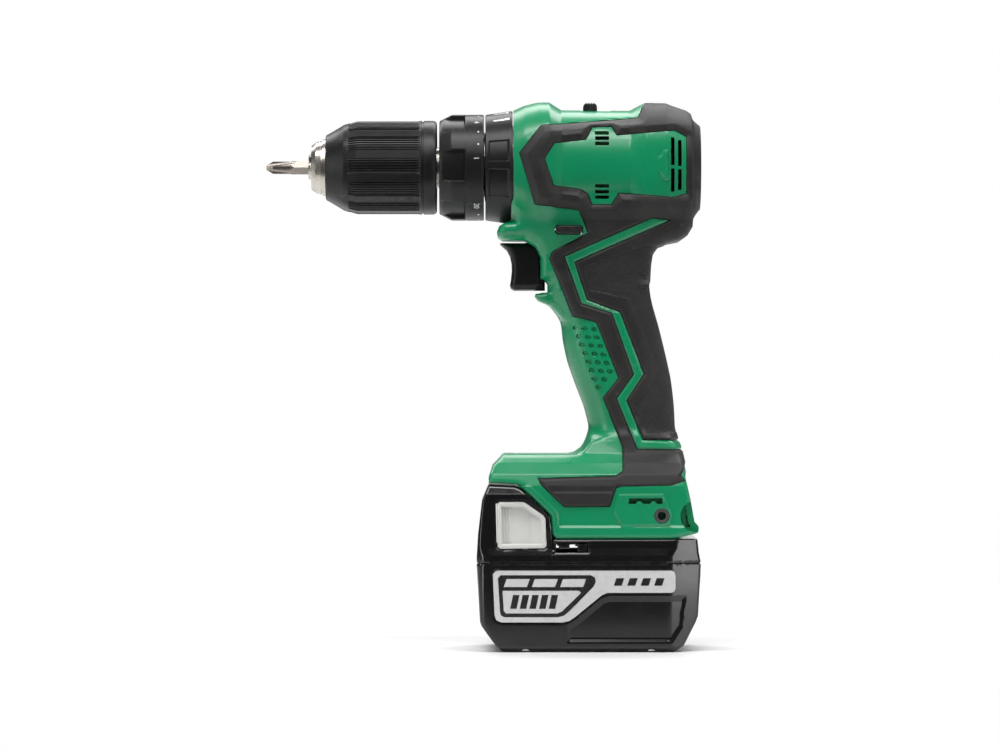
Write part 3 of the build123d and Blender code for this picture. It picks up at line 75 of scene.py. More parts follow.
# ------------------------------------------------------------------------------------------------
# Finishes
# ------------------------------------------------------------------------------------------------
class Nodes:
    """Thin wrapper that adds and links shader nodes."""

    def __init__(self, name: str) -> None:
        """Start a material.

        Args:
            name: name of the material.
        """
        self.material = bpy.data.materials.new(name)
        self.material.use_nodes = True
        self.tree = self.material.node_tree
        self.shader = self.tree.nodes["Principled BSDF"]
        self.coords = self.tree.nodes.new("ShaderNodeTexCoord")

    def add(self, kind: str, **values: object) -> bpy.types.Node:
        """Add a node and set its inputs and properties.

        Args:
            kind: node type after "ShaderNode".
            values: input names, with _ for a space, or properties.

        Returns:
            The node.
        """
        node = self.tree.nodes.new("ShaderNode" + kind)
        for key, value in values.items():
            socket = node.inputs.get(key.replace("_", " "))
            if hasattr(node, key) and socket is None:
                setattr(node, key, value)
            elif isinstance(value, bpy.types.NodeSocket):
                self.link(value, socket)
            else:
                socket.default_value = value
        return node

    def link(self, source: bpy.types.NodeSocket, target: bpy.types.NodeSocket) -> None:
        """Link two sockets."""
        self.tree.links.new(source, target)

    def noise(self, scale: float, detail: float = 3.0, roughness: float = 0.5,
              stretch: Tuple[float, float, float] = (1, 1, 1)) -> bpy.types.NodeSocket:
        """Noise on the object's own coordinates.

        Args:
            scale: features per metre.
            detail: number of octaves.
            roughness: strength of the finer octaves.
            stretch: scale along each axis.

        Returns:
            The noise's factor.
        """
        mapping = self.add("Mapping", Scale=stretch)
        self.link(self.coords.outputs["Object"], mapping.inputs["Vector"])
        node = self.add("TexNoise", Scale=scale, Detail=detail, Roughness=roughness)
        self.link(mapping.outputs["Vector"], node.inputs["Vector"])
        return node.outputs["Fac"]

    def ramp(self, source: bpy.types.NodeSocket, low: float, high: float,
             to_low: float = 0.0, to_high: float = 1.0) -> bpy.types.NodeSocket:
        """Remap a value to a range."""
        node = self.add("MapRange")
        for key, value in (("From Min", low), ("From Max", high), ("To Min", to_low),
                           ("To Max", to_high)):
            node.inputs[key].default_value = value
        self.link(source, node.inputs["Value"])
        return node.outputs["Result"]

    def mix(self, factor: bpy.types.NodeSocket,
            first: Union[Sequence[float], bpy.types.NodeSocket],
            second: Sequence[float]) -> bpy.types.NodeSocket:
        """Blend two colours by a factor."""
        node = self.tree.nodes.new("ShaderNodeMix")
        node.data_type = "RGBA"
        self.link(factor, node.inputs[0])
        for index, colour in ((6, first), (7, second)):
            if isinstance(colour, bpy.types.NodeSocket):
                self.link(colour, node.inputs[index])
            else:
                node.inputs[index].default_value = (*colour[:3], 1.0)
        return node.outputs[2]

    def worn(self, colour: bpy.types.NodeSocket, bare: Sequence[float],
             amount: float) -> bpy.types.NodeSocket:
        """Lighten a colour along convex edges, broken up by noise.

        Args:
            colour: colour of the flat areas.
            bare: colour of a fully rubbed edge.
            amount: share of the bare colour on the sharpest edges.

        Returns:
            The blended colour.
        """
        edge = self.ramp(self.add("NewGeometry").outputs["Pointiness"], 0.51, 0.60, 0.0, amount)
        spots = self.add("Math", operation="MULTIPLY")
        self.link(edge, spots.inputs[0])
        self.link(self.ramp(self.noise(220.0, 4.0, 0.7), 0.35, 0.6), spots.inputs[1])
        return self.mix(spots.outputs[0], colour, bare)

    def bump(self, heights: Sequence[Tuple[bpy.types.NodeSocket, float]],
             distance: float) -> None:
        """Drive the shader's normal from stacked heights.

        Args:
            heights: each height with its strength.
            distance: height of a full step, in metres.
        """
        previous = None
        for height, strength in heights:
            node = self.add("Bump", Strength=strength, Distance=distance)
            self.link(height, node.inputs["Height"])
            if previous is not None:
                self.link(previous, node.inputs["Normal"])
            previous = node.outputs["Normal"]
        self.link(previous, self.shader.inputs["Normal"])

    def set(self, **values: object) -> None:
        """Set the shader's own sockets."""
        for key, value in values.items():
            self.shader.inputs[key.replace("_", " ")].default_value = value


@dataclass(frozen=True)
class Finish:
    """Moulded plastic: base colour, gloss and the grain of the mould."""

    name: str
    colour: Tuple[float, float, float]
    shade: Tuple[float, float, float]
    roughness: float = 0.4
    grain: float = 2600.0
    grain_strength: float = 0.12
    coat: float = 0.0
    specular: float = 0.5

    def make(self) -> bpy.types.Material:
        """Build the material."""
        nodes = Nodes(self.name)
        broad = nodes.noise(28.0, 4.0, 0.55)
        flat = nodes.mix(nodes.ramp(broad, 0.35, 0.68), self.colour, self.shade)
        bare = [0.55 * value + 0.10 for value in self.colour]
        nodes.link(nodes.worn(flat, bare, 0.35), nodes.shader.inputs["Base Color"])
        smudge = nodes.noise(90.0, 5.0, 0.62)
        nodes.link(nodes.ramp(smudge, 0.3, 0.75, self.roughness - 0.05, self.roughness + 0.07),
                   nodes.shader.inputs["Roughness"])
        fine = nodes.noise(self.grain, 2.0)
        flow = nodes.noise(160.0, 2.0)
        nodes.bump([(fine, self.grain_strength), (flow, 0.035)], 0.0003)
        nodes.set(Specular_IOR_Level=self.specular, Coat_Weight=self.coat,
                  Coat_Roughness=0.08)
        return nodes.material


@dataclass(frozen=True)
class SoftFinish:
    """Moulded-on elastomer with a leathery pebble grain and dusty sheen."""

    name: str
    colour: Tuple[float, float, float]
    dusty: Tuple[float, float, float]
    roughness: float = 0.55
    pebble: float = 1500.0
    strength: float = 0.45

    def make(self) -> bpy.types.Material:
        """Build the material."""
        nodes = Nodes(self.name)
        dust = nodes.noise(45.0, 6.0, 0.65)
        flat = nodes.mix(nodes.ramp(dust, 0.42, 0.72), self.colour, self.dusty)
        bare = [value + 0.05 for value in self.dusty]
        nodes.link(nodes.worn(flat, bare, 0.5), nodes.shader.inputs["Base Color"])
        nodes.link(nodes.ramp(dust, 0.3, 0.7, self.roughness - 0.06, self.roughness + 0.1),
                   nodes.shader.inputs["Roughness"])
        cells = nodes.add("TexVoronoi", Scale=self.pebble)
        nodes.link(nodes.coords.outputs["Object"], cells.inputs["Vector"])
        fine = nodes.noise(5200.0, 2.0)
        nodes.bump([(cells.outputs["Distance"], self.strength), (fine, 0.15)], 0.0004)
        nodes.set(Specular_IOR_Level=0.32, Sheen_Weight=0.03, Sheen_Roughness=0.5)
        return nodes.material


@dataclass(frozen=True)
class MetalFinish:
    """Machined metal with marks along the tool's path and faint stains."""

    name: str
    colour: Tuple[float, float, float]
    stain: Tuple[float, float, float]
    roughness: float = 0.25
    marks: Tuple[float, float, float] = (1.0, 0.05, 0.05)
    mark_scale: float = 4200.0
    strength: float = 0.12

    def make(self) -> bpy.types.Material:
        """Build the material."""
        nodes = Nodes(self.name)
        cloud = nodes.noise(140.0, 5.0, 0.6)
        flat = nodes.mix(nodes.ramp(cloud, 0.45, 0.8), self.colour, self.stain)
        bare = [min(1.0, 1.25 * value) for value in self.colour]
        nodes.link(nodes.worn(flat, bare, 0.6), nodes.shader.inputs["Base Color"])
        lines = nodes.noise(self.mark_scale, 3.0, 0.6, self.marks)
        nodes.link(nodes.ramp(lines, 0.3, 0.7, self.roughness - 0.08, self.roughness + 0.12),
                   nodes.shader.inputs["Roughness"])
        nodes.bump([(lines, self.strength)], 0.0001)
        nodes.set(Metallic=1.0)
        return nodes.material


@dataclass(frozen=True)
class ClearFinish:
    """Clear moulded lens with faint flow lines."""

    name: str
    colour: Tuple[float, float, float]

    def make(self) -> bpy.types.Material:
        """Build the material."""
        nodes = Nodes(self.name)
        nodes.link(nodes.mix(nodes.noise(300.0), self.colour, (0.9, 0.93, 0.95)),
                   nodes.shader.inputs["Base Color"])
        nodes.bump([(nodes.noise(700.0, 1.0, 0.5, (1, 1, 6)), 0.2)], 0.0002)
        nodes.set(Roughness=0.12, IOR=1.49, Transmission_Weight=0.55, Coat_Weight=0.5)
        return nodes.material


@dataclass(frozen=True)
class PrintFinish:
    """Print or film laid on the surface."""

    name: str
    colour: Tuple[float, float, float]
    roughness: float = 0.32

    def make(self) -> bpy.types.Material:
        """Build the material."""
        nodes = Nodes(self.name)
        darker = tuple(0.86 * value for value in self.colour)
        nodes.link(nodes.mix(nodes.ramp(nodes.noise(400.0, 4.0), 0.5, 0.8), self.colour, darker),
                   nodes.shader.inputs["Base Color"])
        nodes.link(nodes.ramp(nodes.noise(260.0, 3.0), 0.3, 0.7, self.roughness - 0.04,
                              self.roughness + 0.08), nodes.shader.inputs["Roughness"])
        nodes.bump([(nodes.noise(3200.0, 2.0), 0.06)], 0.0002)
        nodes.set(Metallic=0.0)
        return nodes.material


class Palette:
    """Every finish of the drill, made once on first use."""

    FINISHES = {
        "green": Finish("green_shell", (0.0, 0.262, 0.105), (0.0, 0.235, 0.092), 0.31, 2300.0,
                        0.1, 0.15),
        "soft": SoftFinish("soft_frame", (0.017, 0.0155, 0.0155), (0.027, 0.025, 0.024), 0.46,
                           2600.0, 0.22),
        "grip": SoftFinish("rear_grip", (0.016, 0.015, 0.015), (0.026, 0.024, 0.023), 0.54,
                           1300.0, 0.75),
        "black": Finish("black_moulding", (0.0065, 0.0065, 0.007), (0.010, 0.010, 0.0105), 0.34,
                        2600.0, 0.18, 0.0, 0.3),
        "gloss": Finish("battery_gloss", (0.003, 0.003, 0.0033), (0.005, 0.005, 0.0053), 0.15,
                        1800.0, 0.05, 0.35, 0.35),
        "light": Finish("button_plastic", (0.66, 0.655, 0.63), (0.60, 0.595, 0.575), 0.36,
                        2400.0, 0.1),
        "steel": MetalFinish("turned_steel", (0.56, 0.54, 0.50), (0.40, 0.37, 0.33), 0.26),
        "chrome": MetalFinish("polished_steel", (0.50, 0.47, 0.43), (0.36, 0.33, 0.29), 0.27,
                              (1.0, 0.03, 0.03), 5200.0, 0.08),
        "bit": MetalFinish("bit_steel", (0.26, 0.235, 0.21), (0.17, 0.15, 0.13), 0.36,
                           (0.06, 1.0, 1.0), 5000.0, 0.2),
        "cast": MetalFinish("cast_aluminium", (0.62, 0.62, 0.63), (0.45, 0.45, 0.46), 0.42,
                            (1.0, 1.0, 1.0), 1500.0, 0.5),
        "brass": MetalFinish("brass", (0.78, 0.56, 0.24), (0.55, 0.36, 0.14), 0.28),
        "copper": MetalFinish("copper_wire", (0.72, 0.30, 0.13), (0.45, 0.16, 0.07), 0.35,
                              (0.05, 1.0, 1.0), 3000.0, 0.9),
        "magnet": MetalFinish("rotor_plating", (0.22, 0.22, 0.23), (0.12, 0.12, 0.13), 0.35),
        "board": Finish("circuit_board", (0.01, 0.11, 0.04), (0.015, 0.16, 0.06), 0.38, 1200.0,
                        0.2),
        "cell": Finish("cell_sleeve", (0.05, 0.22, 0.36), (0.04, 0.18, 0.30), 0.3, 900.0, 0.05),
        "lens": ClearFinish("lens_clear", (0.82, 0.86, 0.88)),
        "white_print": PrintFinish("white_print", (0.86, 0.86, 0.85)),
        "label_grey": PrintFinish("label_silver", (0.60, 0.60, 0.60), 0.3),
        "label_black": PrintFinish("label_black", (0.010, 0.010, 0.010), 0.25),
    }
    made: Dict[str, bpy.types.Material] = {}

    @classmethod
    def get(cls, key: str) -> bpy.types.Material:
        """Return a finish's material.

        Args:
            key: name of the finish.

        Returns:
            The material.
        """
        if key not in cls.made:
            cls.made[key] = cls.FINISHES[key].make()
        return cls.made[key]


def dress(obj: bpy.types.Object, key: str) -> None:
    """Give an object one finish."""
    obj.data.materials.clear()
    obj.data.materials.append(Palette.get(key))


def seat(obj: bpy.types.Object, body: str, slot: str, node: str = "") -> None:
    """Let a piece ride on its body and hide the CAD node that it stands in for.

    Args:
        obj: the piece.
        body: body that it moves with.
        slot: name of its material slot; not used.
        node: CAD node that it stands in for, if any.
    """
    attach(obj, body)
    if node:
        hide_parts(node)
    LOG.info("built %s", obj.name)


# ------------------------------------------------------------------------------------------------
# Implicit forms, in millimetres
# ------------------------------------------------------------------------------------------------
def outline(points: Sequence[Point2], x: Array, z: Array) -> Array:
    """Signed distance to a closed outline, negative inside.

    Args:
        points: corners of the outline.
        x: first coordinate.
        z: second coordinate.

    Returns:
        Distances.
    """
    shape = np.broadcast(x, z).shape
    nearest = np.full(shape, np.inf)
    inside = np.zeros(shape, bool)
    for (ax, az), (bx, bz) in zip(points, list(points[1:]) + [points[0]]):
        ex, ez = bx - ax, bz - az
        wx, wz = x - ax, z - az
        along = np.clip((wx * ex + wz * ez) / (ex * ex + ez * ez), 0, 1)
        nearest = np.minimum(nearest, (wx - ex * along) ** 2 + (wz - ez * along) ** 2)
        if bz != az:
            inside ^= ((az > z) != (bz > z)) & (x < ex * (z - az) / ez + ax)
    distance = np.sqrt(nearest)
    return np.where(inside, -distance, distance)


def joined(first: Array, second: Array, blend: float = 0.0) -> Array:
    """Union of two forms, with a fillet of about the blend's size."""
    if not blend:
        return np.minimum(first, second)
    near = np.maximum(blend - np.abs(first - second), 0) / blend
    return np.minimum(first, second) - near * near * blend / 4


def common(first: Array, second: Array, blend: float = 0.0) -> Array:
    """Intersection of two forms, with its edge rounded by about the blend's size."""
    return -joined(-first, -second, blend)


def without(first: Array, second: Array, blend: float = 0.0) -> Array:
    """First form with the second cut away."""
    return common(first, -second, blend)


def box_form(x: Array, y: Array, z: Array, low: Sequence[float],
             high: Sequence[float]) -> Array:
    """Box given by its corners."""
    return within(*(np.maximum(low[i] - v, v - high[i]) for i, v in enumerate((x, y, z))))


def slab(value: Array, middle: float, half: float) -> Array:
    """Slab about a middle plane across one coordinate."""
    return np.abs(value - middle) - half


def within(*forms: Array) -> Array:
    """Plain intersection of several forms."""
    return reduce(np.maximum, forms)


def table(points: Sequence[Point2], at: Array, soften: float = 0.0) -> Array:
    """Read a curve given by its points, softened over a length.

    Args:
        points: (position, value) pairs in rising order.
        at: positions to read.
        soften: length over which corners are rounded.

    Returns:
        Values.
    """
    places, values = zip(*points)
    if not soften:
        return np.interp(at, places, values)
    total = np.zeros(np.shape(at))
    weights = (1, 3, 4, 3, 1)
    for offset, weight in zip(np.linspace(-soften, soften, 5), weights):
        total = total + weight * np.interp(at + offset, places, values)
    return total / sum(weights)


def step_up(distance: Array, height: float, run: float) -> Array:
    """Height of a raised panel with sloped edges, from its signed outline distance."""
    return height * np.clip(-distance / run, 0, 1)


# ------------------------------------------------------------------------------------------------
# Mesh makers
# ------------------------------------------------------------------------------------------------
def mesh_object(name: str, vertices: Array, faces: Sequence[Sequence[int]],
                sharp: float = 32.0) -> bpy.types.Object:
    """Make a shaded mesh object.

    Args:
        name: name of the object.
        vertices: points in metres.
        faces: corner lists.
        sharp: angle in degrees over which an edge is kept crisp.

    Returns:
        The object.
    """
    mesh = bpy.data.meshes.new(name)
    mesh.from_pydata(vertices.tolist(), [], faces.tolist() if isinstance(faces, np.ndarray)
                     else faces)
    mesh.validate()
    mesh.shade_smooth()
    mesh.set_sharp_from_angle(angle=math.radians(sharp))
    obj = bpy.data.objects.new(name, mesh)
    bpy.context.scene.collection.objects.link(obj)
    return obj


@dataclass
class Contour:
    """Surface of an implicit form, with its creases kept."""

    voxel: float = 0.7
    stiffness: float = 0.06

    def surface(self, form: Form, low: Sequence[float],
                high: Sequence[float]) -> Tuple[Array, Array]:
        """Find the form's surface inside a box.

        Args:
            form: signed distance in millimetres.
            low: lowest corner of the box.
            high: highest corner of the box.

        Returns:
            Vertices in millimetres and quads.
        """
        axes = [np.arange(a, b + self.voxel, self.voxel) for a, b in zip(low, high)]
        counts = [len(axis) for axis in axes]
        grid = np.broadcast_to(form(axes[0][:, None, None], axes[1][None, :, None],
                                    axes[2][None, None, :]), counts)
        cell_counts = [count - 1 for count in counts]
        points, keys = [], []
        for axis in range(3):
            first = np.take(grid, range(counts[axis] - 1), axis)
            second = np.take(grid, range(1, counts[axis]), axis)
            index = np.argwhere((first < 0) != (second < 0))
            inner = np.ones(len(index), bool)
            others = [other for other in range(3) if other != axis]
            for other in others:
                inner &= (index[:, other] > 0) & (index[:, other] < counts[other] - 1)
            index = index[inner]
            a, b = first[tuple(index.T)], second[tuple(index.T)]
            place = np.stack([axes[i][index[:, i]] for i in range(3)], 1)
            place[:, axis] += self.voxel * a / (a - b)
            cells = []
            for du, dv in ((-1, -1), (0, -1), (0, 0), (-1, 0)):
                cell = index.copy()
                cell[:, others[0]] += du
                cell[:, others[1]] += dv
                cells.append(np.ravel_multi_index(cell.T, cell_counts))
            ring = np.stack(cells, 1)
            flip = (a < 0) == (axis == 1)
            ring[flip] = ring[flip][:, ::-1]
            points.append(place)
            keys.append(ring)
        place, ring = np.concatenate(points), np.concatenate(keys)
        normal = self.slope(form, place)
        cell_ids, member = np.unique(ring, return_inverse=True)
        member = member.reshape(ring.shape)
        vertices = self.place_vertices(place, normal, cell_ids, member, axes, cell_counts)
        return vertices, member

    def slope(self, form: Form, place: Array) -> Array:
        """Unit normals of the form at points."""
        step = 0.03
        normal = np.empty_like(place)
        for axis in range(3):
            ahead, behind = place.copy(), place.copy()
            ahead[:, axis] += step
            behind[:, axis] -= step
            normal[:, axis] = form(*ahead.T) - form(*behind.T)
        return normal / (np.linalg.norm(normal, axis=1, keepdims=True) + 1e-12)

    def place_vertices(self, place: Array, normal: Array, cell_ids: Array, member: Array,
                       axes: List[Array], cell_counts: List[int]) -> Array:
        """Solve each cell's vertex from the planes that cross it."""
        total = len(cell_ids)
        flat = member.ravel()
        spread = np.repeat(np.arange(len(place)), 4)
        point, plane = place[spread], normal[spread]

        def gather(values: Array) -> Array:
            """Sum values for each cell."""
            return np.bincount(flat, values, total)

        count = gather(np.ones(len(flat)))
        centre = np.stack([gather(point[:, i]) for i in range(3)], 1) / count[:, None]
        local = point - centre[flat]
        reach = np.einsum("ij,ij->i", plane, local)
        matrix = np.empty((total, 3, 3))
        for i in range(3):
            for j in range(3):
                matrix[:, i, j] = gather(plane[:, i] * plane[:, j])
        target = np.stack([gather(plane[:, i] * reach) for i in range(3)], 1)
        matrix += np.eye(3) * self.stiffness
        moved = centre + np.linalg.solve(matrix, target[:, :, None])[:, :, 0]
        corner = np.stack(np.unravel_index(cell_ids, cell_counts), 1)
        low = np.stack([axes[i][corner[:, i]] for i in range(3)], 1)
        return np.clip(moved, low, low + self.voxel)

    def build(self, name: str, form: Form, low: Sequence[float], high: Sequence[float],
              side: Side = Side.RIGHT, sharp: float = 32.0) -> bpy.types.Object:
        """Build a form's mesh, mirrored for the left side.

        Args:
            name: name of the object.
            form: signed distance in millimetres.
            low: lowest corner of the box.
            high: highest corner of the box.
            side: side of the tool that the mesh is for.
            sharp: angle in degrees over which an edge is kept crisp.

        Returns:
            The object.
        """
        vertices, quads = self.surface(form, low, high)
        if side is Side.LEFT:
            vertices = vertices * np.array([1, -1, 1])
            quads = quads[:, ::-1]
        return mesh_object(name, vertices * MM, quads, sharp)


def turned_mesh(name: str, profile: Array, axis_z: float, steps: int,
                shape: Callable[[Array, Array, Array], Array],
                sharp: float = 30.0) -> bpy.types.Object:
    """Closed ring mesh about the spindle axis with a radius that varies round it.

    Args:
        name: name of the object.
        profile: closed loop of (x, radius) points in millimetres.
        axis_z: height of the axis in millimetres.
        steps: number of steps round the axis.
        shape: gives the radius from x, the profile's radius and the angle.
        sharp: angle in degrees over which an edge is kept crisp.

    Returns:
        The object.
    """
    angle = np.linspace(0, 2 * math.pi, steps, endpoint=False)[:, None]
    x = np.broadcast_to(profile[:, 0], (steps, len(profile)))
    radius = shape(x, np.broadcast_to(profile[:, 1], x.shape), np.broadcast_to(angle, x.shape))
    vertices = np.stack([x, radius * np.sin(angle), axis_z + radius * np.cos(angle)], 2)
    count = len(profile)
    row, column = np.meshgrid(np.arange(steps), np.arange(count), indexing="ij")
    after, beside = (row + 1) % steps, (column + 1) % count
    quads = np.stack([row * count + column, row * count + beside, after * count + beside,
                      after * count + column], 2).reshape(-1, 4)
    return mesh_object(name, vertices.reshape(-1, 3) * MM, quads, sharp)


def densify(points: Sequence[Point2], spacing: float) -> Array:
    """Split a closed loop's runs into steps no longer than the spacing."""
    loop = []
    for (ax, ar), (bx, br) in zip(points, list(points[1:]) + [points[0]]):
        count = max(1, int(math.hypot(bx - ax, br - ar) / spacing))
        loop += [(ax + (bx - ax) * i / count, ar + (br - ar) * i / count) for i in range(count)]
    return np.array(loop)


def plate(name: str, points: Sequence[Point2], place: Placing,
          thickness: float) -> bpy.types.Object:
    """Thin closed plate from an outline laid on a surface.

    Args:
        name: name of the object.
        points: outline in the surface's own two coordinates.
        place: gives the point in metres from the two coordinates and a height.
        thickness: thickness in millimetres.

    Returns:
        The object.
    """
    count = len(points)
    vertices = np.array([tuple(place(u, v, h)) for h in (0.0, thickness) for u, v in points])
    faces: List[List[int]] = [list(range(count))[::-1], list(range(count, 2 * count))]
    faces += [[i, (i + 1) % count, count + (i + 1) % count, count + i] for i in range(count)]
    return mesh_object(name, vertices, faces)


def lettering(name: str, text: str, size: float,
              place: Placing,
              thickness: float = 0.12) -> bpy.types.Object:
    """Number laid on a surface as a thin mesh, whose edges aren't all joined.

    Args:
        name: name of the object.
        text: digits to show.
        size: height in millimetres.
        place: gives the point in metres from the two coordinates and a height.
        thickness: thickness in millimetres.

    Returns:
        The object.
    """
    curve = bpy.data.curves.new(name, "FONT")
    curve.body, curve.size, curve.extrude = text, size, thickness
    curve.align_x, curve.align_y, curve.resolution_u = "CENTER", "CENTER", 4
    source = bpy.data.objects.new(name + ".source", curve)
    bpy.context.scene.collection.objects.link(source)
    bpy.context.view_layer.update()
    mesh = bpy.data.meshes.new_from_object(source)
    bpy.data.objects.remove(source)
    for vertex in mesh.vertices:
        vertex.co = place(vertex.co.x, vertex.co.y, vertex.co.z)
    obj = bpy.data.objects.new(name, mesh)
    bpy.context.scene.collection.objects.link(obj)
    return obj


# ------------------------------------------------------------------------------------------------
# Datums
# ------------------------------------------------------------------------------------------------
@dataclass
class Datum:
    """Places read from the frame, in millimetres."""

    axis_z: float = 0.0
    ring_back: float = 0.0
    ring_r: float = 0.0
    cap_back: float = 0.0

    @classmethod
    def read(cls) -> "Datum":
        """Read the datums from the CAD nodes' boxes."""
        ring_low, ring_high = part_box("mode_ring")
        return cls(axis_z=(ring_low.z + ring_high.z) / 2 / MM, ring_back=ring_high.x / MM,
                   ring_r=(ring_high.z - ring_low.z) / 2 / MM,
                   cap_back=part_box("rear_cap")[1].x / MM)


# ------------------------------------------------------------------------------------------------
# Housing
# ------------------------------------------------------------------------------------------------
@dataclass
class Housing:
    """Two green halves with their moulded-on frame, grip and foot tab."""

    datum: Datum
    contour: Contour
    wall: float = 3.0
    skin: float = 1.5
    side_half: float = 29.4
    seam: float = 0.04
    barrel_low: float = 206.0
    barrel_points: Sequence[Point2] = (
        (-36.0, 27.5), (-30.3, 30.0), (-24.1, 31.5), (-18.5, 31.6), (-12.6, 27.8), (20.3, 27.5),
        (27.7, 31.4), (37.7, 31.2), (47.8, 27.3), (50.4, 25.2), (50.7, 22.2), (54.4, 18.3))
    neck_outline: Sequence[Point2] = (
        (-35.3, 214.0), (-35.3, 205.6), (-40.0, 205.2), (-42.6, 203.6), (-43.7, 200.8),
        (-43.2, 198.4), (-41.0, 196.8), (-30.3, 196.6), (-25.3, 193.5), (-22.8, 188.6),
        (-22.8, 178.0), (29.3, 178.0), (29.9, 185.3), (31.0, 190.1), (33.6, 193.5), (38.4, 196.0),
        (43.9, 197.1), (47.3, 199.4), (49.7, 203.4), (50.2, 210.4), (50.2, 220.0))
    neck_half: Sequence[Point2] = ((176.0, 16.9), (190.0, 18.0), (203.0, 21.8), (218.0, 25.0))
    grip_front: Sequence[Point2] = (
        (88.0, -8.0), (94.0, -3.5), (97.0, 0.0), (101.0, 0.9), (107.0, 0.8), (117.0, -1.7),
        (127.0, -5.7), (139.0, -9.9), (149.0, -12.0), (158.0, -12.8), (165.0, -17.0),
        (172.0, -22.0), (200.0, -22.8))
    grip_rear: Sequence[Point2] = (
        (88.0, 45.0), (96.4, 42.8), (101.6, 42.2), (117.0, 41.6), (130.0, 40.1), (143.0, 37.2),
        (156.4, 33.9), (166.0, 31.0), (172.0, 29.8), (179.0, 29.4), (200.0, 30.5))
    grip_half: Sequence[Point2] = ((88.0, 22.0), (96.0, 19.2), (104.0, 18.0), (117.0, 17.2),
                                   (138.0, 16.8), (156.0, 16.5), (172.0, 17.0), (192.0, 17.9))
    lip_outline: Sequence[Point2] = (
        (-21.0, 171.5), (-25.0, 171.2), (-25.5, 169.9), (-23.7, 167.7), (-17.7, 165.2),
        (-12.0, 160.0), (-4.0, 160.5), (-4.0, 171.5))
    foot_outline: Sequence[Point2] = (
        (-40.8, 94.1), (-45.6, 88.6), (-47.7, 82.7), (-47.5, 80.5), (-34.5, 79.8), (-31.6, 78.7),
        (-17.5, 65.0), (-16.7, 56.0), (-15.2, 54.2), (39.6, 54.2), (51.9, 57.1), (52.4, 60.1),
        (50.8, 61.9), (49.2, 70.8), (46.6, 82.3), (44.6, 88.7), (42.7, 96.4), (39.0, 100.0),
        (2.0, 100.0), (-2.0, 95.6), (-6.0, 94.1))
    foot_half: Sequence[Point2] = ((54.0, 34.9), (79.0, 34.7), (84.5, 32.6), (90.0, 27.0),
                                   (94.4, 20.4), (101.0, 17.6))
    frame_outline: Sequence[Point2] = (
        (-32.9, 238.3), (-22.5, 251.7), (24.1, 255.6), (30.4, 270.0), (60.0, 270.0),
        (60.0, 104.0), (44.0, 84.0), (46.3, 81.6), (39.6, 79.3), (16.6, 78.9), (13.3, 78.2),
        (10.3, 69.3), (-11.5, 69.0), (-22.7, 79.7), (-24.1, 82.7), (13.0, 83.8), (16.4, 86.1),
        (16.5, 97.3), (7.4, 121.1), (14.8, 130.6), (4.0, 157.4), (-7.3, 160.4), (-18.5, 188.1),
        (-16.8, 191.5), (0.0, 200.2), (-4.4, 211.1), (-25.5, 213.7))
    panel_outline: Sequence[Point2] = (
        (-20.8, 235.7), (-16.0, 243.0), (-0.9, 244.8), (2.1, 250.8), (11.2, 251.2), (13.8, 246.9),
        (41.5, 249.1), (47.1, 246.1), (47.1, 218.8), (40.6, 217.1), (14.7, 219.3), (11.2, 213.7),
        (2.1, 213.7), (0.0, 218.8), (-3.5, 221.0), (-16.5, 222.7))
    stripe_outline: Sequence[Point2] = (
        (39.5, 206.3), (30.7, 207.2), (-11.2, 189.0), (-3.0, 166.4), (11.7, 161.7), (22.1, 132.3),
        (13.9, 120.7), (23.8, 96.5), (60.0, 96.0), (60.0, 100.3), (26.4, 100.8), (18.6, 119.8),
        (26.9, 132.3), (15.6, 162.1), (-0.4, 168.2), (-6.4, 186.3))
    plate_outline: Sequence[Point2] = (
        (14.4, 75.3), (35.7, 75.5), (39.8, 66.1), (39.1, 59.8), (15.9, 59.3), (12.0, 65.6),
        (13.0, 72.8))
    scoop_outline: Sequence[Point2] = (
        (32.2, 235.2), (34.6, 237.4), (36.2, 239.9), (38.7, 239.9), (38.7, 225.4), (36.2, 225.4),
        (34.6, 227.8), (32.2, 229.8))
    tab_outline: Sequence[Point2] = (
        (-24.0, 76.6), (12.6, 76.6), (10.2, 68.0), (-11.5, 67.6), (-24.0, 78.6))
    texture_outline: Sequence[Point2] = (
        (-2.0, 183.7), (0.9, 172.5), (18.6, 168.8), (20.2, 167.2), (33.8, 134.1), (27.0, 122.4),
        (22.9, 117.6), (28.4, 104.2), (64.0, 104.2), (64.0, 193.0), (27.8, 194.7))
    screw_places: Sequence[Point2] = (
        (36.5, 202.0), (-37.5, 202.0), (24.0, 159.5), (-4.0, 151.0), (33.5, 121.0), (7.0, 110.0),
        (-26.0, 88.0), (38.0, 90.0))
    button_outline: Sequence[Point2] = (
        (-15.9, 200.6), (-14.9, 199.4), (-3.3, 199.4), (-2.3, 200.6), (-2.3, 202.6),
        (-3.3, 203.8), (-14.9, 203.8), (-15.9, 202.6))
    lens_outline: Sequence[Point2] = (
        (-39.9, 94.9), (-46.2, 88.8), (-46.9, 86.1), (-42.1, 84.3), (-35.8, 89.8), (-35.8, 94.9))
    box_cuts: Sequence[Tuple[Sequence[float], Sequence[float]]] = (
        ((-60, -1, 171.7), (-11.4, 10.1, 196.3)), ((-80, -1, 50), (44.6, 21.2, 59.7)),
        ((-80, -1, 58.3), (44.6, 25.2, 67.0)), ((16.9, -1, 60), (40.1, 14.1, 76)))
    screw_head_r: float = 3.3
    dimple_rows: int = 8
    dimple_columns: int = 3
    dimple_size: Point2 = (1.55, 1.15)
    screw_seat_y: float = 6.0
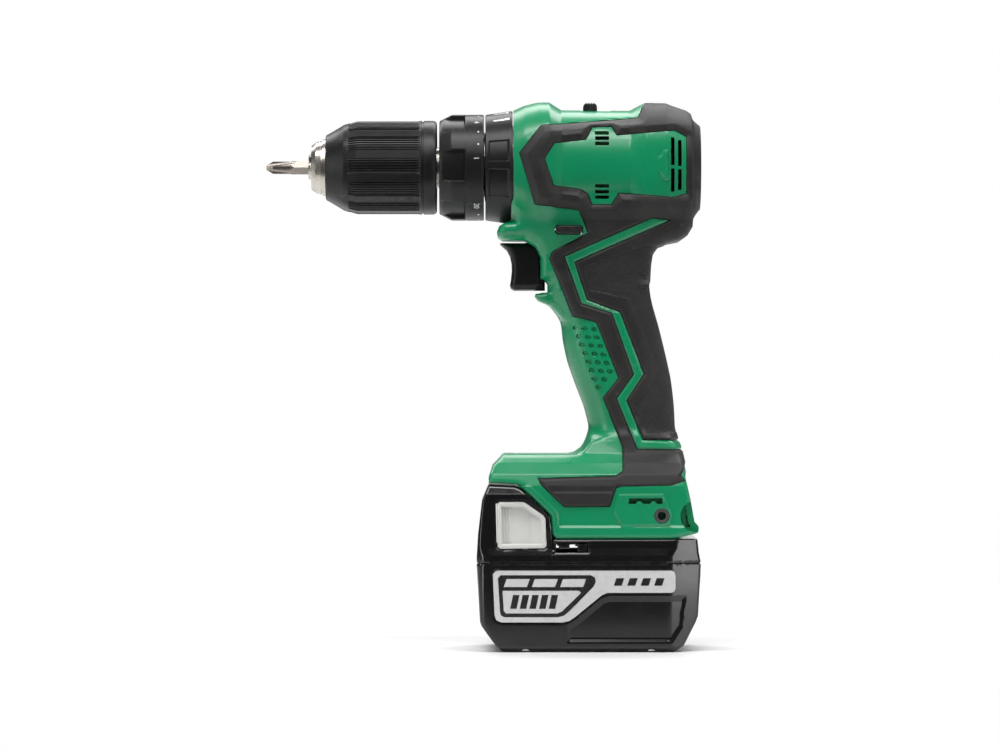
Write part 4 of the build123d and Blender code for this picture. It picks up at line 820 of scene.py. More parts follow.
    side_slots: Sequence[Tuple[float, float, float, float]] = (
        (3.4, 10.0, 247.2, 249.0), (3.4, 10.0, 244.6, 246.4), (3.4, 10.0, 242.0, 243.8),
        (3.4, 10.0, 221.8, 223.4), (3.4, 10.0, 219.0, 220.6), (3.4, 10.0, 216.4, 218.0),
        (39.6, 41.3, 232.4, 245.6), (39.6, 41.3, 219.8, 230.8), (43.0, 44.7, 232.0, 244.4),
        (43.0, 44.7, 220.6, 230.4))

    def barrel(self, x: Array, y: Array, z: Array) -> Array:
        """Motor barrel with flattened sides."""
        radius = np.sqrt(y * y + (z - self.datum.axis_z) ** 2)
        form = common(radius - table(self.barrel_points, x, 0.5), y - self.side_half, 4.0)
        return np.maximum(form, np.maximum(self.datum.ring_back + 0.35 - x,
                                           x - self.datum.cap_back))

    def neck(self, x: Array, y: Array, z: Array) -> Array:
        """Neck between barrel and grip, with its hood over the trigger."""
        return common(outline(self.neck_outline, x, z), y - table(self.neck_half, z, 2.0), 6.0)

    def grip(self, x: Array, y: Array, z: Array) -> Array:
        """Grip as a rounded section that follows its front and rear curves."""
        front, rear = table(self.grip_front, z, 4.0), table(self.grip_rear, z, 5.0)
        half = table(self.grip_half, z, 4.0)
        middle, reach = (front + rear) / 2, (rear - front) / 2
        corner = 0.93 * np.minimum(reach, half)
        across, beside = np.abs(x - middle) - reach + corner, y - half + corner
        outer = np.sqrt(np.maximum(across, 0) ** 2 + np.maximum(beside, 0) ** 2)
        form = outer + np.minimum(np.maximum(across, beside), 0) - corner
        return np.maximum(form, np.maximum(88.0 - z, z - 200.0)) * 0.93

    def foot(self, x: Array, y: Array, z: Array) -> Array:
        """Foot over the battery, with sloped shoulders."""
        return common(outline(self.foot_outline, x, z), (y - table(self.foot_half, z)) * 0.9, 2.4)

    def body(self, x: Array, y: Array, z: Array) -> Array:
        """Whole outer form before panels are raised or cut."""
        lip = common(outline(self.lip_outline, x, z), y - 11.5, 3.0)
        upper = joined(joined(self.grip(x, y, z), self.neck(x, y, z), 3.0), lip, 3.0)
        form = joined(upper, self.barrel(x, y, z), 5.0)
        return joined(form, self.foot(x, y, z), 9.0)

    def soft_region(self, x: Array, z: Array) -> Array:
        """Where the soft layer lies, seen from the side."""
        region = outline(self.frame_outline, x, z)
        region = np.maximum(region, -outline(self.panel_outline, x, z))
        return np.maximum(region, -outline(self.stripe_outline, x, z))

    def soft_height(self, x: Array, z: Array) -> Array:
        """How far the soft layer stands proud."""
        region = self.soft_region(x, z)
        rise = np.clip((z - self.barrel_low) / 6.0, 0, 1)
        upper = step_up(region, 1.9, 3.4) * rise
        lower = step_up(region, 0.7, 1.2) * (1 - rise)
        crown = table(((60.0, 0.35), (252.0, 1.0), (258.0, 0.3), (262.0, 0.0), (270.0, 0.0)), z)
        lower = lower - step_up(outline(self.texture_outline, x, z), 0.35, 0.45)
        tab = step_up(outline(self.tab_outline, x, z), 0.5, 1.2)
        return (upper + lower) * np.where(z > self.barrel_low, crown, 1.0) + tab

    def green_height(self, x: Array, z: Array) -> Array:
        """How far green features stand proud of the plain form."""
        stripe = step_up(outline(self.stripe_outline, x, z), 0.55, 1.0)
        plate_rise = step_up(outline(self.plate_outline, x, z), 0.8, 0.9)
        rim = np.clip((60.2 - z) / 1.2, 0, 1) * 0.7
        sweep = outline(self.foot_outline, x, z)
        swoosh = np.clip((sweep + 3.4) / 1.0, 0, 1) * 0.7 * ((x < -14.0) & (z < 79.0))
        scoop = step_up(outline(self.scoop_outline, x, z), 1.5, 1.0) * np.clip(
            (x - 31.8) / 6.2, 0, 1)
        return stripe + plate_rise + scoop + np.maximum(rim, swoosh)

    def openings(self, x: Array, y: Array, z: Array, side: Side) -> Array:
        """Everything cut through or into a half."""
        top = self.datum.axis_z + 20
        cut = outline(self.button_outline, x, z)
        for low, high in (*self.box_cuts, ((-3.2, -1, top), (11.4, 4.6, 280)),
                          ((-25.0, -1, top), (15.0, 5.0, top + 5))):
            cut = joined(cut, box_form(x, y, z, low, high))
        for low_x, high_x, low_z, high_z in self.side_slots:
            slot = within(slab(x, (low_x + high_x) / 2, (high_x - low_x) / 2),
                          slab(z, (low_z + high_z) / 2, (high_z - low_z) / 2))
            cut = joined(cut, np.maximum(slot, 20.0 - y))
        radius = np.sqrt(y * y + (z - self.datum.axis_z) ** 2)
        cut = joined(cut, np.maximum(radius - 24.5, x + 31.0))
        cut = joined(cut, np.maximum(radius - self.datum.ring_r - 0.35,
                                     x - self.datum.ring_back - 0.35))
        slot = box_form(x, y, z, (19.3, 31.5, 70.5), (35.2, 50, 73.3))
        for bump_x in (24.2, 31.0):
            slot = np.maximum(slot, 1.5 - np.sqrt((x - bump_x) ** 2 + (z - 70.3) ** 2))
        cut = joined(cut, slot)
        hole = np.sqrt((x - 35.0) ** 2 + (z - 64.8) ** 2)
        cut = joined(cut, np.maximum(hole - 3.7, 27.0 - y))
        scoop = np.sqrt((x - 51.5) ** 2 + (z - 64.6) ** 2)
        cut = joined(cut, np.maximum(scoop - 7.6, np.maximum(29.6 - y, 41.2 - x)), 0.8)
        cut = joined(cut, np.maximum(outline(self.lens_outline, x, z), y - 9.4))
        if side is Side.RIGHT:
            for place_x, place_z in self.screw_places:
                away = np.sqrt((x - place_x) ** 2 + (z - place_z) ** 2)
                cut = joined(cut, np.maximum(away - self.screw_head_r,
                                             self.screw_seat_y - y))
        return cut

    def dimples(self, x: Array, y: Array, z: Array) -> Array:
        """Rows of finger dimples down the front of the grip."""
        form = np.full(np.broadcast(x, y, z).shape, 9.0)
        for row in range(self.dimple_rows):
            for column in range(self.dimple_columns):
                middle_x = -5.7 + 4.3 * column + 1.54 * row
                middle_z = 154.6 - 4.07 * row - 0.3 * column
                if -outline(self.frame_outline, np.array(middle_x), np.array(middle_z)) > -1.9:
                    continue
                slant = (x - middle_x) * 0.35 + (z - middle_z)
                across = (x - middle_x) - 0.35 * (z - middle_z)
                away = np.sqrt((across / self.dimple_size[0]) ** 2
                               + (slant / self.dimple_size[1]) ** 2)
                form = np.minimum(form, away - 1.0)
        return form

    def beyond_seam(self, y: Array, base: Array) -> Array:
        """Form of what lies over the parting: a fine groove that closes below the surface."""
        return np.clip(self.seam + 0.12 * (base + 0.5), -0.03, self.seam) - y

    def green(self, x: Array, y: Array, z: Array, side: Side) -> Array:
        """One green half."""
        base = self.body(x, y, z)
        raised = base - self.green_height(x, z)
        region = self.soft_region(x, z)
        under = np.maximum(region - 0.12, -(base + self.skin))
        form = without(raised, under)
        form = np.maximum(form, np.minimum(-(base + self.wall), 0.01))
        dock = box_form(x, y, z, (-12.0, -1, 54.2), (47.0, 28.5, 69.6))
        form = np.minimum(form, np.maximum(dock, base + 0.6))
        pits = self.dimples(x, y, z)
        form = without(form, np.maximum(pits * 1.3, -(base + 0.75)))
        form = without(form, self.openings(x, y, z, side))
        return np.maximum(form, self.beyond_seam(y, base))

    def soft(self, x: Array, y: Array, z: Array, side: Side) -> Array:
        """The soft layer on one half."""
        base = self.body(x, y, z)
        form = base - self.soft_height(x, z)
        form = common(form, self.soft_region(x, z) + 0.08, 0.5)
        form = np.maximum(form, -(base + self.skin - 0.05))
        recess = np.maximum(np.sqrt(y * y + (z - self.datum.axis_z) ** 2) - 15.4, 51.2 - x)
        form = without(form, recess)
        form = without(form, self.openings(x, y, z, side))
        return np.maximum(form, np.maximum(self.beyond_seam(y, base),
                                           x - self.datum.cap_back + 0.05))

    def build(self) -> None:
        """Build and dress both halves and their soft layers."""
        low, high = (-49.0, -1.4, 52.6), (56.5, 37.6, 267.0)
        for side in Side:
            word = side.name.lower()
            shell = self.contour.build(f"{word}_shell", lambda x, y, z: self.green(x, y, z, side),
                                       low, high, side)
            dress(shell, "green")
            seat(shell, "housing", "green_shell", f"{word}_housing")
            soft = self.contour.build(f"{word}_soft_layer",
                                      lambda x, y, z: self.soft(x, y, z, side), low, high, side)
            dress(soft, "soft")
            self.mark_grip(soft)
            seat(soft, "housing", "soft_grip", f"{word}_soft_grip")

    def mark_grip(self, soft: bpy.types.Object) -> None:
        """Give the hand area of the soft layer its coarser grain."""
        soft.data.materials.append(Palette.get("grip"))
        count = len(soft.data.polygons)
        centres = np.empty(count * 3)
        soft.data.polygons.foreach_get("center", centres)
        centres = centres.reshape(-1, 3) / MM
        away = outline(self.texture_outline, centres[:, 0], centres[:, 2])
        index = (away < 0).astype(np.int32)
        soft.data.polygons.foreach_set("material_index", index)


# ------------------------------------------------------------------------------------------------
# Chuck sleeve and rings
# ------------------------------------------------------------------------------------------------
@dataclass
class ChuckSleeve:
    """Chuck sleeve with fine-ribbed panels between smooth ridges."""

    datum: Datum
    panels: int = 12
    ribs: int = 6
    rib_depth: float = 0.55
    panel_half: float = 9.8
    panel_span: Tuple[float, float] = (-115.6, -80.6)
    loop: Sequence[Point2] = (
        (-126.4, 14.4), (-126.4, 15.4), (-126.0, 16.0), (-125.2, 16.4), (-118.6, 20.2),
        (-117.9, 20.7), (-112.0, 22.5), (-111.0, 22.72), (-80.0, 22.72), (-79.8, 22.2),
        (-79.1, 22.2), (-78.9, 22.7), (-74.4, 22.7), (-73.2, 22.2), (-72.75, 21.3),
        (-72.75, 19.4), (-112.0, 19.4))

    def radius(self, x: Array, base: Array, angle: Array) -> Array:
        """Radius of the sleeve with its panels and ribs."""
        pitch = 360.0 / self.panels
        degrees = np.degrees(angle)
        offset = (degrees + pitch / 2) % pitch - pitch / 2
        start, end = self.panel_span
        along = np.clip(np.minimum(x - start, end - x) / 1.2, 0, 1)
        inside = np.clip((self.panel_half - np.abs(offset)) / 0.8, 0, 1) * along
        wave = 0.5 - 0.5 * np.cos(2 * math.pi * self.ribs * offset / (2 * self.panel_half))
        sunk = inside * (0.28 + self.rib_depth * np.clip(1.35 - 1.7 * wave, 0, 1))
        crown = 0.16 * np.cos(np.radians(offset * self.panels)) * np.clip((x + 122) / 6, 0, 1)
        outer = (base > 19.5) | (x < -118.0) & (base > 15.0)
        return base - np.where(outer, sunk + np.where(x < -80.5, 0.16 - crown, 0.0), 0.0)

    def build(self) -> None:
        """Build and dress the sleeve."""
        sleeve = turned_mesh("chuck_sleeve_mesh", densify(self.loop, 0.8), self.datum.axis_z,
                             self.panels * 72, self.radius, 28.0)
        dress(sleeve, "black")
        seat(sleeve, "sleeve", "black_plastic", "chuck_sleeve")


@dataclass
class TorqueRing:
    """Clutch setting ring with finger pockets, numbers and dots."""

    datum: Datum
    pockets: int = 6
    settings: int = 20
    number_x: float = -53.6
    dot_x: float = -52.6
    last_angle: float = 138.0
    step: float = 16.0
    dot_r: float = 0.42
    outer_r: float = 25.62
    pocket_half: float = 18.8
    loop: Sequence[Point2] = (
        (-71.45, 10.7), (-71.45, 22.2), (-71.1, 22.7), (-66.0, 25.3), (-65.3, 25.62),
        (-50.4, 25.62), (-50.02, 25.2), (-50.02, 19.05), (-69.9, 19.05), (-69.9, 10.7))

    def radius(self, x: Array, base: Array, angle: Array) -> Array:
        """Radius with the pockets pressed in."""
        pitch = 360.0 / self.pockets
        offset = (np.degrees(angle) - 90 + pitch / 2) % pitch - pitch / 2
        side = np.clip((self.pocket_half - np.abs(offset)) / 2.2, 0, 1)
        back = np.clip((-58.6 - x) / 1.0, 0, 1)
        bottom = 23.35 + 0.3 * (offset / self.pocket_half) ** 2
        pressed = np.minimum(base, bottom + (1 - side * back) * 3.0)
        collar = np.where((x > -58.3) & (x < -57.9), 0.12, 0.0)
        return np.where(base > 19.5, pressed - collar, base)

    def on_surface(self, angle: float, x_middle: float) -> Placing:
        """Placing function for print at an angle in degrees round the ring."""
        def place(u: float, v: float, h: float) -> Vector:
            """Lay the print's point on the ring."""
            radius = self.outer_r + h
            turn = math.radians(angle) + u / self.outer_r
            return Vector(((x_middle + v) * MM, -radius * math.sin(turn) * MM,
                           (self.datum.axis_z + radius * math.cos(turn)) * MM))
        return place

    def build(self) -> None:
        """Build the ring and its print."""
        ring = turned_mesh("torque_ring_mesh", densify(self.loop, 0.7), self.datum.axis_z, 540,
                           self.radius)
        dress(ring, "black")
        seat(ring, "torque_ring", "black_plastic", "torque_ring")
        dot = [(self.dot_r * math.cos(t), self.dot_r * math.sin(t))
               for t in np.linspace(0, 2 * math.pi, 12, endpoint=False)]
        for setting in range(1, self.settings + 1):
            angle = self.last_angle + self.step * (self.settings - setting)
            if setting == 1 or setting % 4 == 0:
                print_mark = lettering(f"torque_number_{setting}", str(setting), 3.6,
                                       self.on_surface(angle, self.number_x), 0.05)
            else:
                print_mark = plate(f"torque_dot_{setting}", dot,
                                   self.on_surface(angle, self.dot_x), 0.06)
            dress(print_mark, "white_print")
            seat(print_mark, "torque_ring", "label")


@dataclass
class ModeRing:
    """Mode ring with flats round its rim and three plain symbols."""

    datum: Datum
    flat_edges: Sequence[Point2] = ((62.0, 86.0), (93.0, 124.0), (236.0, 267.0), (274.0, 298.0))
    loop: Sequence[Point2] = (
        (-49.25, 20.55), (-49.25, 25.1), (-48.9, 25.6), (-36.9, 27.35), (-36.1, 27.1),
        (-36.1, 20.55))
    symbol_x: float = -41.6
    symbols: Sequence[Tuple[str, float, Sequence[Point2]]] = (
        ("drill", 57.0, (
            (-4.2, 0.0), (-3.0, 0.7), (-2.2, 0.2), (-1.4, 0.9), (-0.6, 0.3), (0.2, 1.0),
            (1.0, 0.4), (1.8, 1.1), (4.0, 1.1), (4.0, -0.6), (1.6, -0.6), (0.8, -1.0),
            (0.0, -0.5), (-0.8, -0.9), (-1.6, -0.4), (-2.4, -0.8))),
        ("screw", 76.0, (
            (-3.8, 0.0), (-2.6, 0.6), (2.2, 0.6), (2.6, 1.7), (3.5, 1.7), (3.5, -1.7),
            (2.6, -1.7), (2.2, -0.6), (-2.6, -0.6))),
        ("hammer", 96.0, (
            (-3.4, -0.4), (0.8, -0.4), (0.8, -1.5), (3.2, -1.5), (3.2, 1.5), (0.8, 1.5),
            (0.8, 0.4), (-3.4, 0.4))))

    def radius(self, x: Array, base: Array, angle: Array) -> Array:
        """Radius with the flats cut."""
        degrees = np.degrees(angle) % 360
        along = np.clip(np.minimum(x + 47.6, -37.9 - x) / 0.5, 0, 1)
        cut = np.zeros(x.shape)
        for low, high in self.flat_edges:
            edge = np.clip(np.minimum(degrees - low, high - degrees) / 1.5, 0, 1)
            cut = np.maximum(cut, edge)
        return base - np.where(base > 21.0, 0.75 * cut * along, 0.0)

    def on_surface(self, angle: float) -> Placing:
        """Placing function for a symbol at an angle in degrees above the side."""
        def place(u: float, v: float, h: float) -> Vector:
            """Lay the symbol's point on the ring."""
            x = self.symbol_x + u
            radius = 25.6 + (x + 48.9) / 12.0 * 1.75 + h
            turn = math.radians(90.0 - angle) - v / 26.5
            return Vector((x * MM, -radius * math.sin(turn) * MM,
                           (self.datum.axis_z + radius * math.cos(turn)) * MM))
        return place

    def build(self) -> None:
        """Build the ring and its symbols."""
        ring = turned_mesh("mode_ring_mesh", densify(self.loop, 0.6), self.datum.axis_z, 720,
                           self.radius)
        dress(ring, "black")
        seat(ring, "mode_ring", "black_plastic", "mode_ring")
        for name, angle, points in self.symbols:
            symbol = plate(f"symbol_{name}", points, self.on_surface(angle), 0.06)
            dress(symbol, "white_print")
            seat(symbol, "mode_ring", "label")


# ------------------------------------------------------------------------------------------------
# Battery
# ------------------------------------------------------------------------------------------------
@dataclass
class Battery:
    """Slide-on battery: two cases with rails, labels and release buttons."""

    datum: Datum
    contour: Contour
    wall: float = 2.4
    half: float = 37.95
    parting: float = 42.0
    top: float = 53.7
    case_outline: Sequence[Point2] = (
        (-44.5, 3.2), (-41.2, 0.05), (41.0, 0.05), (45.5, 2.7), (51.4, 13.7), (52.6, 16.7),
        (53.7, 35.2), (53.95, 41.9), (52.9, 47.1), (52.2, 53.7), (-16.9, 53.7), (-17.3, 55.8),
        (-18.2, 64.3), (-32.0, 77.8), (-35.0, 79.1), (-47.7, 79.7), (-50.8, 72.3), (-52.7, 56.0),
        (-53.35, 44.9), (-53.35, 41.1), (-51.9, 14.5), (-51.2, 12.3))
    width_points: Sequence[Point2] = ((0.0, 35.6), (2.6, 37.95), (45.5, 37.95), (49.8, 36.4),
                                      (75.0, 36.4), (80.5, 33.4))
    label_outline: Sequence[Point2] = (
        (-45.6, 36.9), (-44.4, 38.4), (-42.9, 38.8), (39.4, 38.8), (40.8, 38.2), (41.4, 36.8),
        (41.4, 30.2), (40.8, 28.8), (39.4, 28.2), (9.0, 28.2), (6.2, 27.0), (-6.4, 16.7),
        (-9.2, 14.8), (-12.3, 14.1), (-41.6, 14.1), (-44.0, 15.2), (-44.8, 17.5))
    inner_label: Sequence[Point2] = (
        (-43.2, 35.2), (-42.0, 36.6), (1.0, 36.6), (3.0, 35.6), (3.4, 33.4), (2.4, 31.2),
        (-8.6, 20.0), (-11.6, 17.4), (-14.6, 16.6), (-40.2, 16.6), (-41.8, 17.6), (-42.2, 19.4))
    # name, count, first, pitch, width, lean, bottom, top, depth, finish
    label_rows: Sequence[Tuple] = (
        ("bar", 5, -37.4, 4.6, 3.1, 1.4, 20.6, 27.2, 0.0, "label_black"),
        ("stripe", 3, -40.4, 13.4, 11.0, 1.4, 31.0, 34.8, 0.03, "label_grey"),
        ("mark", 4, 12.0, 6.4, 3.8, 1.2, 31.6, 35.2, 0.07, "label_black"))
    latch_outline: Sequence[Point2] = (
        (-43.9, 70.3), (-42.6, 71.6), (-31.4, 71.6), (-29.8, 71.0), (-21.2, 65.0), (-20.4, 63.4),
        (-19.9, 50.4), (-21.0, 49.2), (-42.2, 48.9), (-43.4, 50.0))

    def form(self, x: Array, y: Array, z: Array) -> Array:
        """Outer form of the battery with its corner facets."""
        form = common(outline(self.case_outline, x, z), y - table(self.width_points, z), 1.6)
        for low_x, slope in ((38.5, 0.62), (-47.0, -0.75)):
            facet = ((x - low_x) * (1 if slope > 0 else -1) * abs(slope)
                     + (y - self.half)) / math.hypot(1, slope)
            form = common(form, facet, 1.0) if slope > 0 else common(form, facet - 1.2, 1.5)
        return form

    def detailed(self, x: Array, y: Array, z: Array) -> Array:
        """Outer form with its side reliefs."""
        form = self.form(x, y, z)
        low_panel = outline(((10.0, 26.2), (6.0, 24.8), (-6.0, 14.8), (-10.0, 12.4),
                             (-10.0, 4.5), (40.0, 4.5), (45.0, 12.0), (46.5, 26.2)), x, z)
        form = form + step_up(low_panel, 0.9, 1.6) * (y > 30)
        form = without(form, within(slab(z, self.parting, 0.32), -(form + 0.5)))
        slope = np.abs(x + 16.9 + 0.05 * (z - 50)) - 0.45
        form = without(form, within(slope, 44.0 - z, -(form + 0.9), 30 - y))
        notch = within(slab(x, -7.8, 7.6), slab(z, 49.6, 2.4), 33.6 - y)
        form = without(form, notch, 0.6)
        tongue = within(slab(x, -3.0, 2.3), slab(z, 49.6, 1.7), y - 36.6)
        stub = within(slab(x, -11.6, 2.6), slab(z, 49.6, 1.5), y - 34.8)
        return np.minimum(form, np.maximum(np.minimum(tongue, stub), 30 - y))

    def hollow(self, x: Array, y: Array, z: Array) -> Array:
        """Room for the cells and the front tower's room."""
        inner = self.form(x, y, z) + self.wall
        low = np.maximum(inner, z - (self.top - self.wall))
        tower = np.maximum(inner, np.maximum(x + 19.0, 30.0 - z))
        return np.minimum(low, tower)

    def case(self, x: Array, y: Array, z: Array, upper: bool) -> Array:
        """Upper or lower case on one side."""
        form = without(self.detailed(x, y, z), self.hollow(x, y, z))
        rail = box_form(x, y, z, (-21.0, -5, 58.7), (44.0, 24.8, 66.5))
        neck = box_form(x, y, z, (-21.0, -5, self.top - 1), (44.0, 20.8, 58.7))
        form = np.minimum(form, joined(rail, neck))
        form = without(form, box_form(x, y, z, (8.5, -5, 60.8), (60, 15.0, 70)))
        form = without(form, box_form(x, y, z, (-16, -5, 56.5), (8.0, 12.0, 64.5)))
        form = without(form, np.maximum(outline(self.latch_outline, x, z) - 0.4, 26.5 - y))
        label = np.maximum(outline(self.label_outline, x, z) - 0.15, self.half - 0.35 - y)
        form = without(form, label)
        for screw_x in (-30.0, 30.0):
            away = np.sqrt((x - screw_x) ** 2 + (y - 34.1) ** 2)
            form = np.minimum(form, np.maximum(away - 2.4, np.abs(z - 45.2) - 3.2))
            form = without(form, np.maximum(away - 1.3, z - 49.2))
            form = without(form, np.maximum(away - 2.5, z - 2.1))
        split = self.parting - z if upper else z - self.parting
        return np.maximum(form, split)

    def build(self) -> None:
        """Build the cases, labels and buttons."""
        for name, upper, low, high in (
                ("lower_case", False, (-55.0, -39.2, -1.4), (55.4, 39.4, 43.4)),
                ("upper_case", True, (-55.0, -39.2, 40.4), (55.4, 39.4, 81.4))):
            case = self.contour.build(
                f"battery_{name}", lambda x, y, z: self.case(x, np.abs(y), z, upper), low, high)
            dress(case, "gloss")
            seat(case, "battery", "gloss_black", name)
        for side in Side:
            self.build_label(side)
            self.build_latch(side)

    def on_side(self, side: Side, depth: float) -> Placing:
        """Placing function for print on a side of the battery."""
        def place(u: float, v: float, h: float) -> Vector:
            """Lay the print's point on the case."""
            return Vector((u * MM, side.value * (self.half - depth + h) * MM, v * MM))
        return place

    def build_label(self, side: Side) -> None:
        """Build a side's label: silver film, black field and plain level bars."""
        word = side.name.lower()
        order = 1 if side is Side.RIGHT else -1

        def piece(name: str, points: Sequence[Point2], depth: float, finish: str,
                  thick: float = 0.03, node: str = "") -> None:
            """Make one layer of the label."""
            obj = plate(f"label_{word}_{name}", list(points)[::order], self.on_side(side, depth),
                        thick)
            dress(obj, finish)
            seat(obj, "battery", "label", node)

        piece("film", self.label_outline, 0.32, "label_grey", 0.24, f"label_{word}")
        piece("field", self.inner_label, 0.07, "label_black")
        lower = [(-41.0, 29.2), (-4.6, 29.2), (-3.6, 28.2), (-12.6, 19.4), (-15.0, 18.4),
                 (-39.4, 18.4), (-40.4, 19.6)]
        piece("window", lower, 0.03, "label_grey")
        for name, count, first, pitch, width, lean, low, high, depth, finish in self.label_rows:
            for index in range(count):
                start = first + pitch * index
                points = [(start, low), (start + width, low), (start + width + lean, high),
                          (start + lean, high)]
                piece(f"{name}_{index + 1}", points, depth, finish)

    def latch_form(self, x: Array, y: Array, z: Array) -> Array:
        """Release button with a raised rim, a slope and fine finger ribs."""
        edge = outline(self.latch_outline, x, z)
        form = common(edge, y - 36.2, 0.7)
        floor = 34.0 + np.clip((x + 27.4) / 5.0, 0, 1) * 1.6
        scoop = np.maximum(edge + 2.4, floor - y)
        form = without(form, scoop, 0.9)
        rib = 0.35 * np.clip(np.cos((x + 38.5) * 2 * math.pi / 1.0) * 1.6, 0, 1)
        rib = rib * ((x > -41.4) & (x < -36.6) & (edge < -3.0))
        lowered = np.maximum(edge + 2.8, y - floor - rib)
        return np.maximum(np.minimum(form, lowered), 31.0 - y)

    def build_latch(self, side: Side) -> None:
        """Build one release button."""
        word = side.name.lower()
        button = Contour(0.32).build(f"release_button_{word}", self.latch_form,
                                     (-45.0, 30.2, 47.8), (-18.9, 37.2, 72.6), side)
        dress(button, "light")
        seat(button, f"latch_{word}", "light_plastic", f"latch_{word}")


# ------------------------------------------------------------------------------------------------
# Small parts
# ------------------------------------------------------------------------------------------------
@dataclass
class Trigger:
    """Trigger with a hollowed finger face."""

    datum: Datum
    outline_points: Sequence[Point2] = (
        (-20.5, 195.7), (-41.6, 195.7), (-42.3, 195.2), (-41.2, 194.2), (-38.8, 192.0),
        (-37.3, 189.0), (-36.6, 185.6), (-36.5, 182.2), (-37.0, 177.6), (-37.4, 175.2),
        (-36.9, 173.6), (-35.4, 172.75), (-20.5, 172.75))

    def form(self, x: Array, y: Array, z: Array) -> Array:
        """Trigger on one side."""
        blade = common(outline(self.outline_points, x, z), y - 9.55, 4.2)
        blade = np.maximum(blade, x + 20.5)
        rib = np.maximum(np.abs(y - 8.9) - 0.35, np.maximum(-24.6 - x, -(blade + 0.5)))
        blade = without(blade, rib)
        stem = box_form(x, y, z, (-21.0, -5, 181.0), (-12.0, 4.0, 189.0))
        return np.minimum(blade, stem)

    def build(self) -> None:
        """Build and dress the trigger."""
        obj = Contour(0.45).build("trigger_mesh", lambda x, y, z: self.form(x, np.abs(y), z),
                                  (-43.4, -10.4, 171.8), (-11.4, 10.4, 196.8))
        dress(obj, "black")
        seat(obj, "trigger", "black_plastic", "trigger")


@dataclass
class RearCap:
    """Round insert in the back of the soft frame, with vent grooves."""

    datum: Datum
    vent_levels: Sequence[float] = (-8.0, -4.0, 0.0, 4.0, 8.0)

    def form(self, x: Array, y: Array, z: Array) -> Array:
        """Rear insert."""
        height = z - self.datum.axis_z
        radius = np.sqrt(y * y + height * height)
        form = common(radius - 15.2, np.maximum(49.2 - x, x - 53.8), 1.2)
        for level in self.vent_levels:
            slot = np.maximum(np.abs(height - level) - 0.8, np.maximum(radius - 12.4, 51.9 - x))
            form = without(form, slot, 0.4)
        seat = np.maximum(radius - 8.05, np.maximum(46.0 - x, x - 51.2))
        boss = np.maximum(radius - 10.4, np.maximum(46.2 - x, x - 49.4))
        return np.maximum(np.minimum(form, boss), -seat)

    def build(self) -> None:
        """Build and dress the insert."""
        axis_z = self.datum.axis_z
        obj = Contour(0.4).build("rear_insert", self.form, (45.6, -16.4, axis_z - 16.4),
                                 (55.0, 16.4, axis_z + 16.4))
        dress(obj, "black")
        seat(obj, "housing", "soft_grip", "rear_cap")


class KeptNodes:
    """CAD nodes that are shown as they are, each with its finish."""

    FINISH = {
        "steel": ["housing_screws", "gear_case_screws", "fixed_cam", "turning_cam", "ring_gear_1",
                  "ring_gear_2", "stator_core", "spindle", "chuck_screw", "carrier_1",
                  "carrier_2", "rotor_shaft", "case_screws", "clutch_spring", "planet_1a",
                  "planet_1b", "planet_1c", "planet_2a", "planet_2b", "planet_2c"],
        "chrome": ["chuck_body", "front_bearing", "motor_bearings", "jaw_a", "jaw_b", "jaw_c"],
        "bit": ["driver_bit"], "cast": ["gear_case", "motor_plate"], "copper": ["windings"],
        "magnet": ["rotor_magnets", "hook_inserts"], "brass": ["battery_contacts"],
        "board": ["controller_board", "light_board", "battery_board"], "cell": ["cells"],
        "black": ["switch_body", "terminal_block", "fan", "spring_nut", "speed_knob",
                  "reversing_button", "cell_holder"],
        "lens": ["light_lens"],
    }

    @classmethod
    def build(cls, nodes: Dict[str, bpy.types.Object]) -> None:
        """Dress each kept node with its finish."""
        for finish, names in cls.FINISH.items():
            for name in names:
                node = nodes[name]
                if node.material_slots:
                    for slot in node.material_slots:
                        slot.material = Palette.get(finish)
                else:
                    node.data.materials.append(Palette.get(finish))
        LOG.info("dressed kept nodes")


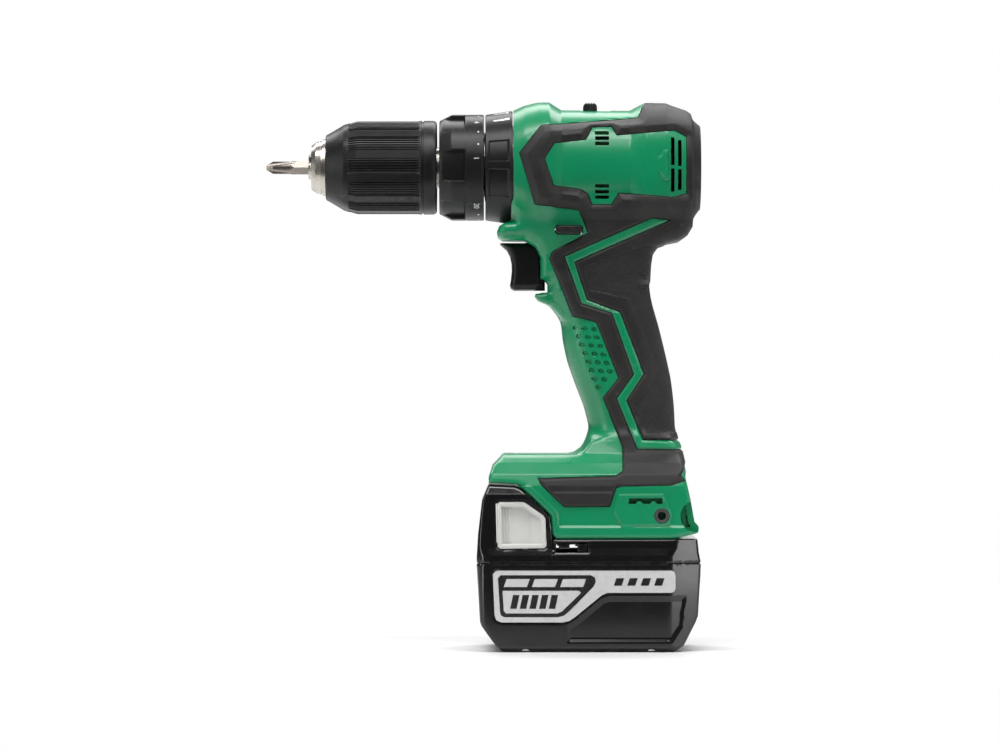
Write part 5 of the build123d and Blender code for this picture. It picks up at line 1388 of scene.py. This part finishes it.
# ------------------------------------------------------------------------------------------------
# Studio
# ------------------------------------------------------------------------------------------------
@dataclass
class Studio:
    """Pale floor, soft lights and the camera."""

    distance: float = 2.4
    lens: float = 178.5
    target: Tuple[float, float, float] = (-0.0422, 0.0, 0.132)
    backdrop: float = 1.0
    room: float = 0.11

    def build_floor(self) -> None:
        """Lay a pale floor with a soft sheen."""
        side, front, back = 1.6, -0.3, 0.75
        points = np.array([(-side, front, 0), (side, front, 0), (side, back, 0),
                           (-side, back, 0)])
        floor = mesh_object("floor", points - np.array([0, 0, 0.0002]), [[0, 1, 2, 3]])
        nodes = Nodes("pale_floor")
        nodes.link(nodes.mix(nodes.noise(2.0), (0.90, 0.90, 0.90), (0.93, 0.93, 0.93)),
                   nodes.shader.inputs["Base Color"])
        nodes.set(Roughness=0.5)
        floor.data.materials.append(nodes.material)

    def light(self, name: str, place: Tuple[float, float, float], size: Tuple[float, float],
              power: float, aim: Tuple[float, float, float] = (0.0, 0.0, 0.13)) -> None:
        """Add a rectangular area light.

        Args:
            name: name of the light.
            place: position in metres.
            size: width and height in metres.
            power: power in watts.
            aim: point that it faces.
        """
        data = bpy.data.lights.new(name, "AREA")
        data.shape, data.size, data.size_y, data.energy = "RECTANGLE", *size, power
        obj = bpy.data.objects.new(name, data)
        bpy.context.scene.collection.objects.link(obj)
        obj.location = place
        obj.rotation_euler = (Vector(aim) - Vector(place)).to_track_quat("-Z", "Y").to_euler()

    def build_world(self) -> None:
        """White screen straight behind the tool and a dim room all round."""
        world = bpy.data.worlds.new("studio")
        bpy.context.scene.world = world
        world.use_nodes = True
        tree = world.node_tree
        coords = tree.nodes.new("ShaderNodeTexCoord")
        axes = tree.nodes.new("ShaderNodeSeparateXYZ")
        fade = tree.nodes.new("ShaderNodeMapRange")
        for key, value in (("From Min", 0.975), ("From Max", 0.99), ("To Min", self.room),
                           ("To Max", self.backdrop)):
            fade.inputs[key].default_value = value
        tree.links.new(coords.outputs["Generated"], axes.inputs["Vector"])
        tree.links.new(axes.outputs["Y"], fade.inputs["Value"])
        background = tree.nodes["Background"]
        background.inputs["Color"].default_value = (1.0, 1.0, 1.0, 1.0)
        tree.links.new(fade.outputs["Result"], background.inputs["Strength"])

    def build(self) -> None:
        """Build floor, lights, world and camera."""
        self.build_floor()
        self.light("overhead", (-0.05, -0.45, 1.25), (1.5, 0.35), 15.0)
        self.light("front_fill", (-0.35, -1.5, 1.75), (0.8, 0.5), 8.0)
        self.light("back_wash", (0.0, 0.75, 1.1), (2.0, 0.5), 17.0, (0.0, 0.4, 0.0))
        self.light("left_strip", (-1.2, -0.6, 0.35), (0.18, 0.9), 3.0)
        self.light("right_strip", (1.2, -0.5, 0.35), (0.18, 0.9), 3.0)
        self.build_world()
        bpy.context.scene.view_settings.view_transform = "Standard"
        data = bpy.data.cameras.new("camera")
        data.lens = self.lens
        camera = bpy.data.objects.new("camera", data)
        bpy.context.scene.collection.objects.link(camera)
        camera.location = (self.target[0], -self.distance, self.target[2])
        camera.rotation_euler = (math.radians(90), 0, 0)
        bpy.context.scene.camera = camera


def main() -> None:
    """Build the drill's looks in order."""
    logging.basicConfig(level=logging.INFO, format="%(name)s: %(message)s")
    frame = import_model()
    datum = Datum.read()
    contour = Contour(0.62)
    Housing(datum, contour).build()
    ChuckSleeve(datum).build()
    TorqueRing(datum).build()
    ModeRing(datum).build()
    Battery(datum, contour).build()
    Trigger(datum).build()
    RearCap(datum).build()
    KeptNodes.build(frame["nodes"])
    Studio().build()


if __name__ == "__main__":
    main()
